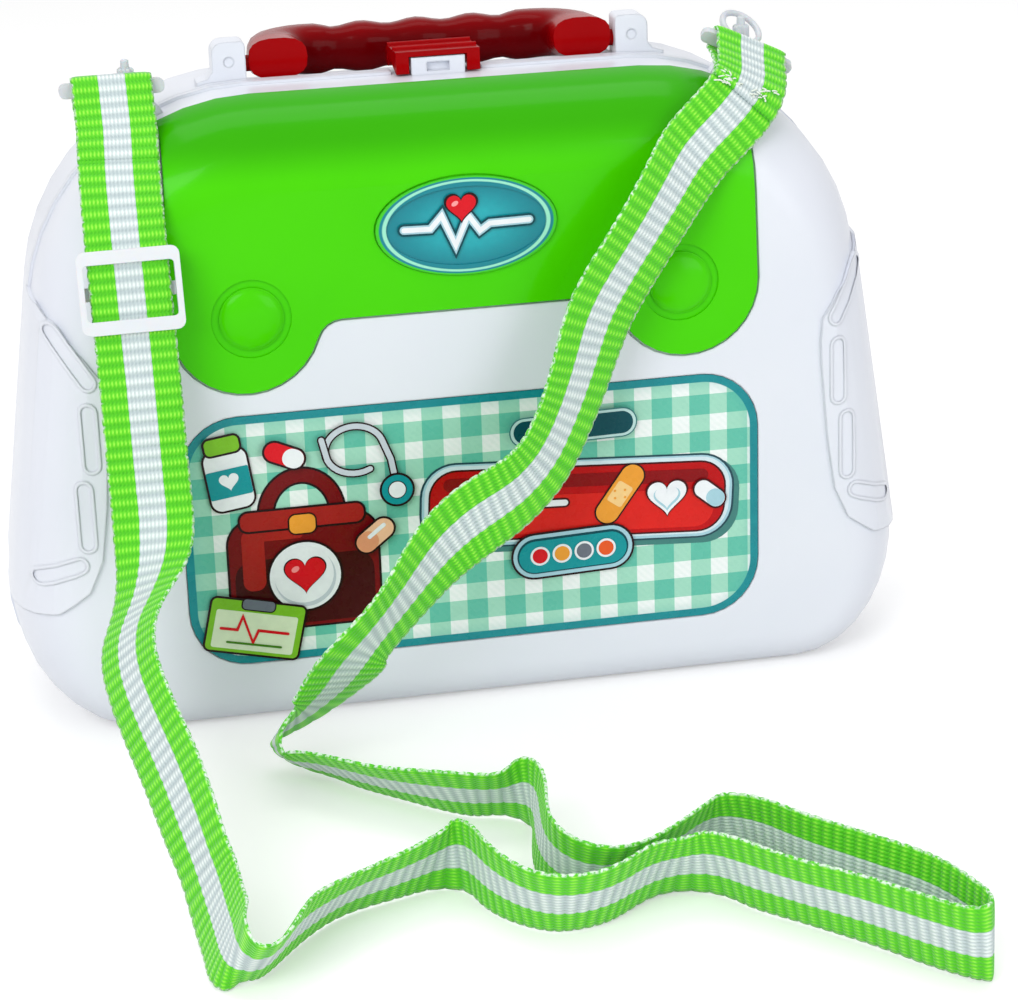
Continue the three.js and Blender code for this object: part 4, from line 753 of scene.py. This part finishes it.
def plate(at, size, corner, angle=0, grow=0):
    """A rectangle with round corners."""
    w, h = size[0] / 2 + grow, size[1] / 2 + grow
    r = max(LEAST_CORNER, min(corner + grow, w - CORNER_CLEAR, h - CORNER_CLEAR))
    points = []
    for k, (cx, cz) in enumerate(((w - r, h - r), (r - w, h - r), (r - w, r - h), (w - r, r - h))):
        points += [(cx + r * math.cos(a), cz + r * math.sin(a))
                   for a in np.linspace(k * math.pi / 2, (k + 1) * math.pi / 2, CORNER_POINTS)]
    return placed(points, at, angle)


def disc(at, size, angle=0, grow=0):
    return placed([((size[0] / 2 + grow) * math.cos(a), (size[1] / 2 + grow) * math.sin(a))
                   for a in np.linspace(0, 2 * math.pi, DISC_POINTS, endpoint=False)], at, angle)


def heart(at, size, angle=0, grow=0):
    scale = (size + 2 * grow) / 32
    points = []
    for t in np.linspace(0, 2 * math.pi, HEART_POINTS, endpoint=False):
        high = 13 * math.cos(t) - 5 * math.cos(2 * t) - 2 * math.cos(3 * t) - math.cos(4 * t) + 2.5
        points.append((16 * math.sin(t) ** 3 * scale, high * scale))
    return placed(points, at, angle)


def band(points, width, grow=0):
    """A line of even width with round ends, through points."""
    points = [Vector(p) for p in points]
    half = width / 2 + grow
    left, right = [], []
    for k, p in enumerate(points):
        a = (p - points[k - 1]).normalized() if k else (points[1] - p).normalized()
        b = (points[k + 1] - p).normalized() if k + 1 < len(points) else a
        mid = (a + b).normalized()
        n = Vector((-mid.y, mid.x)) * (half / max(MITRE, mid.dot(a)))
        left.append(p + n)
        right.append(p - n)

    def cap(centre, way):
        a0 = math.atan2(way.y, way.x)
        return [centre + Vector((math.cos(a0 + t), math.sin(a0 + t))) * half
                for t in np.linspace(math.pi / 2, -math.pi / 2, CAP_POINTS)[1:-1]]

    ring = (left + cap(points[-1], points[-1] - points[-2])
            + right[::-1] + cap(points[0], points[0] - points[1]))
    return [(p.x, p.y) for p in ring][::-1]


def arc(cx, cz, rx, rz, start, end, count=24):
    """Points along part of an ellipse, from and to an angle in degrees."""
    return [(cx + rx * math.cos(math.radians(a)), cz + rz * math.sin(math.radians(a)))
            for a in np.linspace(start, end, count)]


ink_look = printed("printed_ink", SATIN, SKIN, IOR=1.48, Specular_IOR_Level=0.16,
                   Coat_Weight=0.05, Coat_Roughness=0.12)
pigment = ink_look.tree.nodes.new("ShaderNodeAttribute")
pigment.attribute_name = "ink"
tone = ink_look.tree.nodes.new("ShaderNodeMixRGB")
tone.blend_type = "MULTIPLY"
ink_look.link((ink_look.noise(0.25, 4.0) * 0.5).unit(), tone.inputs[0])
ink_look.link(pigment.outputs["Color"], tone.inputs[1])
tone.inputs[2].default_value = linear(206, 206, 214)
ink_look.colour(tone.outputs[0])

INK, AMBER, GREY = linear(34, 10, 16), linear(240, 160, 56), linear(110, 116, 128)
MAROON, MAROON_LIT, MAROON_DEEP = linear(118, 12, 18), linear(168, 34, 30), linear(66, 6, 12)
SNOW, SNOW_DEEP, SILVER = linear(240, 243, 246), linear(200, 208, 216), linear(168, 208, 220)
ROSE, LEAF, LEAF_DEEP = linear(222, 20, 34), linear(128, 194, 44), linear(70, 130, 30)
PEACH, PEACH_DEEP = linear(248, 196, 158), linear(232, 156, 116)
TEAL, DARK_TEAL = linear(20, 150, 156), linear(6, 74, 84)
PLAQUE, PLAQUE_LIT, PLAQUE_DEEP = linear(190, 8, 14), linear(222, 34, 28), linear(140, 4, 12)
LABEL_FACE_Y, BADGE_FACE_Y = -42.84, -44.84
label = Print("label_artwork", LABEL_FACE_Y)

# Left: a doctor's bag
label.inked(band, MAROON, points=arc(-54, 68.5, 11, 12.5, 180, 0), width=4.2)
label.inked(plate, MAROON, at=(-54, 50), size=(46, 36), corner=8)
label.shape(plate((-54, 44), (43, 22), 6), MAROON_DEEP)
label.shape(plate((-69.5, 55), (7, 20), 3), MAROON_LIT)
label.shape(plate((-61, 62.4), (14, 3), 1.4), MAROON_LIT)
label.inked(plate, MAROON_LIT, at=(-54, 67.5), size=(38, 6), corner=2.5)
label.inked(plate, AMBER, at=(-54, 65.5), size=(8, 6), corner=2, outline=0.5)
label.inked(disc, SNOW, at=(-54, 48.5), size=(22, 22))
label.shape(disc((-54, 48), (19, 19)), SNOW_DEEP)
label.shape(disc((-54.4, 49), (18.4, 18.4)), SNOW)
label.inked(heart, ROSE, at=(-54, 48.6), size=12.5, outline=0.4)
label.shape(disc((-57, 51), (2.6, 1.8), 30), linear(255, 150, 150))
# A bottle
label.inked(plate, SNOW, at=(-75.5, 82), size=(13, 19), corner=3.2, angle=8)
label.inked(plate, LEAF, at=(-77.1, 93), size=(10.5, 5), corner=1.6, angle=8)
label.shape(plate((-75.4, 81), (13, 9), 0.6, 8), TEAL)
label.shape(heart((-75.4, 81.2), 6, 8), SNOW)
# A clipboard
label.inked(plate, LEAF, at=(-70.5, 33.2), size=(29, 17), corner=1.6, angle=-13)
label.shape(plate((-70.8, 32), (25.5, 12.5), 0.8, -13), linear(226, 240, 206))
label.inked(plate, GREY, at=(-68.9, 40.6), size=(10, 3.2), corner=1.2, angle=-13, outline=0.4)
chart = [(-81, 34.5), (-76, 33.4), (-74, 37.6), (-71.5, 28.6), (-69.5, 32.4), (-60.5, 30.3)]
label.shape(band(chart, 0.9), ROSE)
label.shape(band([(-79.4, 29.8), (-63, 26.1)], 0.7), LEAF_DEEP)
# A stethoscope
for tube in (arc(-37, 88, 9, 7.5, 200, 20) + [(-26, 84), (-25, 78)],
             arc(-37, 88, 9, 7.5, 200, 300, 10)[::-1] + [(-47, 92)]):
    label.inked(band, SNOW_DEEP, points=tube, width=1.7, outline=0.5)
label.inked(disc, TEAL, at=(-24.5, 74), size=(9.5, 9.5))
label.inked(disc, SNOW, at=(-24.5, 74), size=(5.2, 5.2), outline=0.3)
# Two capsules
label.inked(plate, PEACH, at=(-32, 60), size=(13, 6.4), corner=3.2, angle=38)
label.shape(plate((-34.4, 58.1), (7, 6.4), 3.1, 38), PEACH_DEEP)
label.shape(plate((-31.5, 61.4), (7, 1.3), 0.6, 38), SNOW)
label.inked(plate, ROSE, at=(-58.5, 88.5), size=(12.5, 6), corner=3, angle=-24)
label.shape(plate((-55.9, 87.3), (6.6, 6), 2.9, -24), SNOW)

# Right: a red plaque with a pale rim, from its shadow up
PLAQUE_TURN = -3.3
label.shape(plate((33.2, 62.4), (101.5, 28.5), 11, PLAQUE_TURN), linear(70, 130, 124), layer=0)
for at, size, corner, tint in (
        ((32.3, 63.9), (100, 28), 11, linear(40, 74, 84)),
        ((32.3, 63.9), (98.6, 26.8), 10.4, SILVER),
        ((32.3, 64.1), (97, 25.4), 9.6, linear(214, 232, 238)),
        ((32.3, 63.8), (94.6, 23.6), 8.8, MAROON_DEEP),
        ((32.3, 63.8), (93.4, 22.4), 8.2, PLAQUE),
        ((32.6, 60), (86, 12.5), 6, PLAQUE_LIT),
        ((32.0, 70.8), (84, 4.2), 2.1, PLAQUE_DEEP)):
    label.shape(plate(at, size, corner, PLAQUE_TURN), tint)
beat = [(-10, 66), (-1, 65.5), (3, 71.5), (8, 58), (12, 67), (16, 64.4), (28, 63.9)]
label.shape(band(beat, 3.2), MAROON_DEEP)
label.shape(band(beat, 2.0), SNOW)
# A plaster strip, a heart and a pill on the plaque
STRIP = (45.5, 65)
label.inked(plate, AMBER, at=STRIP, size=(21, 7.4), corner=3.6, angle=54, outline=0.5)
label.shape(plate(STRIP, (7.4, 5.4), 0.8, 54), linear(250, 208, 140))
dots = label.layer
for dx, dz in ((-1.6, -1.2), (1.6, -1.2), (-1.6, 1.2), (1.6, 1.2)):
    label.shape(disc((STRIP[0] + dx, STRIP[1] + dz), (0.8, 0.8)), AMBER, layer=dots)
label.inked(heart, SNOW, at=(60.5, 62), size=12.5, outline=0.6, line=MAROON_DEEP)
label.shape(heart((60.5, 61.6), 8.6), SILVER)
label.shape(heart((60.4, 62.2), 7.6), SNOW)
label.inked(plate, SNOW, at=(74.2, 62.4), size=(11, 5.6), corner=2.8, angle=-40, outline=0.6,
            line=MAROON_DEEP)
label.shape(plate((76, 60.9), (6, 5.6), 2.7, -40), SILVER)
# A teal plate with four buttons under it, and a dark plate above
label.inked(plate, SILVER, at=(30, 47.7), size=(38, 14), corner=7, angle=2)
label.shape(plate((30, 47.7), (35.5, 11.6), 5.8, 2), DARK_TEAL)
label.shape(plate((30, 47.5), (34.4, 10.4), 5.2, 2), TEAL)
for k, tint in enumerate((ROSE, AMBER, GREY, linear(236, 92, 40))):
    label.inked(disc, tint, at=(19.5 + 7 * k, 47.3 + 0.25 * k), size=(4.8, 4.8), outline=0.7,
                line=SNOW)
label.inked(plate, linear(190, 222, 220), at=(31, 88.6), size=(39.5, 8.8), corner=4.4, angle=1,
            outline=0.4, line=linear(60, 120, 120))
label.shape(plate((31, 88.6), (37.6, 7.2), 3.6, 1), DARK_TEAL)
label.finish("case_front")

# Badge: a pulse line with a heart on it
badge = Print("badge_artwork", BADGE_FACE_Y)
trace = [(-19, 155), (-11, 154.8), (-7.5, 158.6), (-3.5, 149.2), (0.5, 158.2), (4, 153.2),
         (7, 155.2), (19, 155.4)]
for width, tint in ((3.8, DARK_TEAL), (2.5, SILVER), (1.5, SNOW)):
    badge.shape(band(trace, width), tint)
badge.inked(heart, ROSE, at=(-1.5, 160.4), size=9, outline=0.7)
badge.shape(disc((-3.4, 162), (2.2, 1.4), 30), linear(255, 160, 160))
badge.finish("case_front")


# Floor, backdrop and light. The paper glows by its share for the rays that see the backdrop
FLOOR_HALF, WORLD_LEVEL, PAPER, PAPER_SHADE, PAPER_GLOW = 9000.0, 0.66, 0.8, 0.985, 0.32


def background_rays(tree):
    """1 for the rays that see the backdrop: those of the camera, of gloss and of glass."""
    rays = tree.nodes.new("ShaderNodeLightPath")
    camera_ray, gloss, glass = (Val(tree, rays.outputs[kind]) for kind in (
        "Is Camera Ray", "Is Glossy Ray", "Is Transmission Ray"))
    return camera_ray.most(gloss).most(glass)


def paper_look(name):
    """White paper, which those rays see a little brighter than the lamps alone make it."""
    look = Look(name, Roughness=0.9, Specular_IOR_Level=0.0)
    tint, faint = (PAPER,) * 3 + (1.0,), (PAPER * PAPER_SHADE,) * 3 + (1.0,)
    look.colour(look.mix(look.noise(0.002, 2.0), tint, faint))
    tree = look.tree
    glow, both = tree.nodes.new("ShaderNodeEmission"), tree.nodes.new("ShaderNodeAddShader")
    look.link(background_rays(tree) * PAPER_GLOW, glow.inputs["Strength"])
    tree.links.new(look.bsdf.outputs[0], both.inputs[0])
    tree.links.new(glow.outputs[0], both.inputs[1])
    tree.links.new(both.outputs[0], tree.nodes["Material Output"].inputs["Surface"])
    return look


floor_look = paper_look("paper_floor")
corners = [(FLOOR_HALF * i, FLOOR_HALF * j, 0) for i, j in ((-1, -1), (1, -1), (1, 1), (-1, 1))]
sweep = new_mesh("paper_floor", corners, [(0, 1, 2, 3)], [floor_look], smooth=False)

world = bpy.data.worlds.new("studio")
scene.world = world
world.use_nodes = True
sky = world.node_tree.nodes["Background"]
sky.inputs["Color"].default_value = (1, 1, 1, 1)
strength = background_rays(world.node_tree) * (1 - WORLD_LEVEL) + WORLD_LEVEL
world.node_tree.links.new(strength.socket, sky.inputs["Strength"])


def lamp(name, place, aim, size, power):
    """A rectangular lamp at a place, turned to a point."""
    data = bpy.data.lights.new(name, "AREA")
    data.shape, data.energy = "RECTANGLE", power
    data.size, data.size_y = size[0] * MM, size[1] * MM
    obj = bpy.data.objects.new(name, data)
    scene.collection.objects.link(obj)
    obj.location = Vector(place) * MM
    obj.rotation_euler = (Vector(aim) - Vector(place)).to_track_quat("-Z", "Y").to_euler()


lamp("key", (-900, -1300, 1000), (0, -60, 90), (900, 900), 13.5)
lamp("fill", (900, -1500, 500), (0, -100, 60), (900, 900), 6)
lamp("top", (0, 300, 1500), (0, 0, 100), (1200, 700), 6)
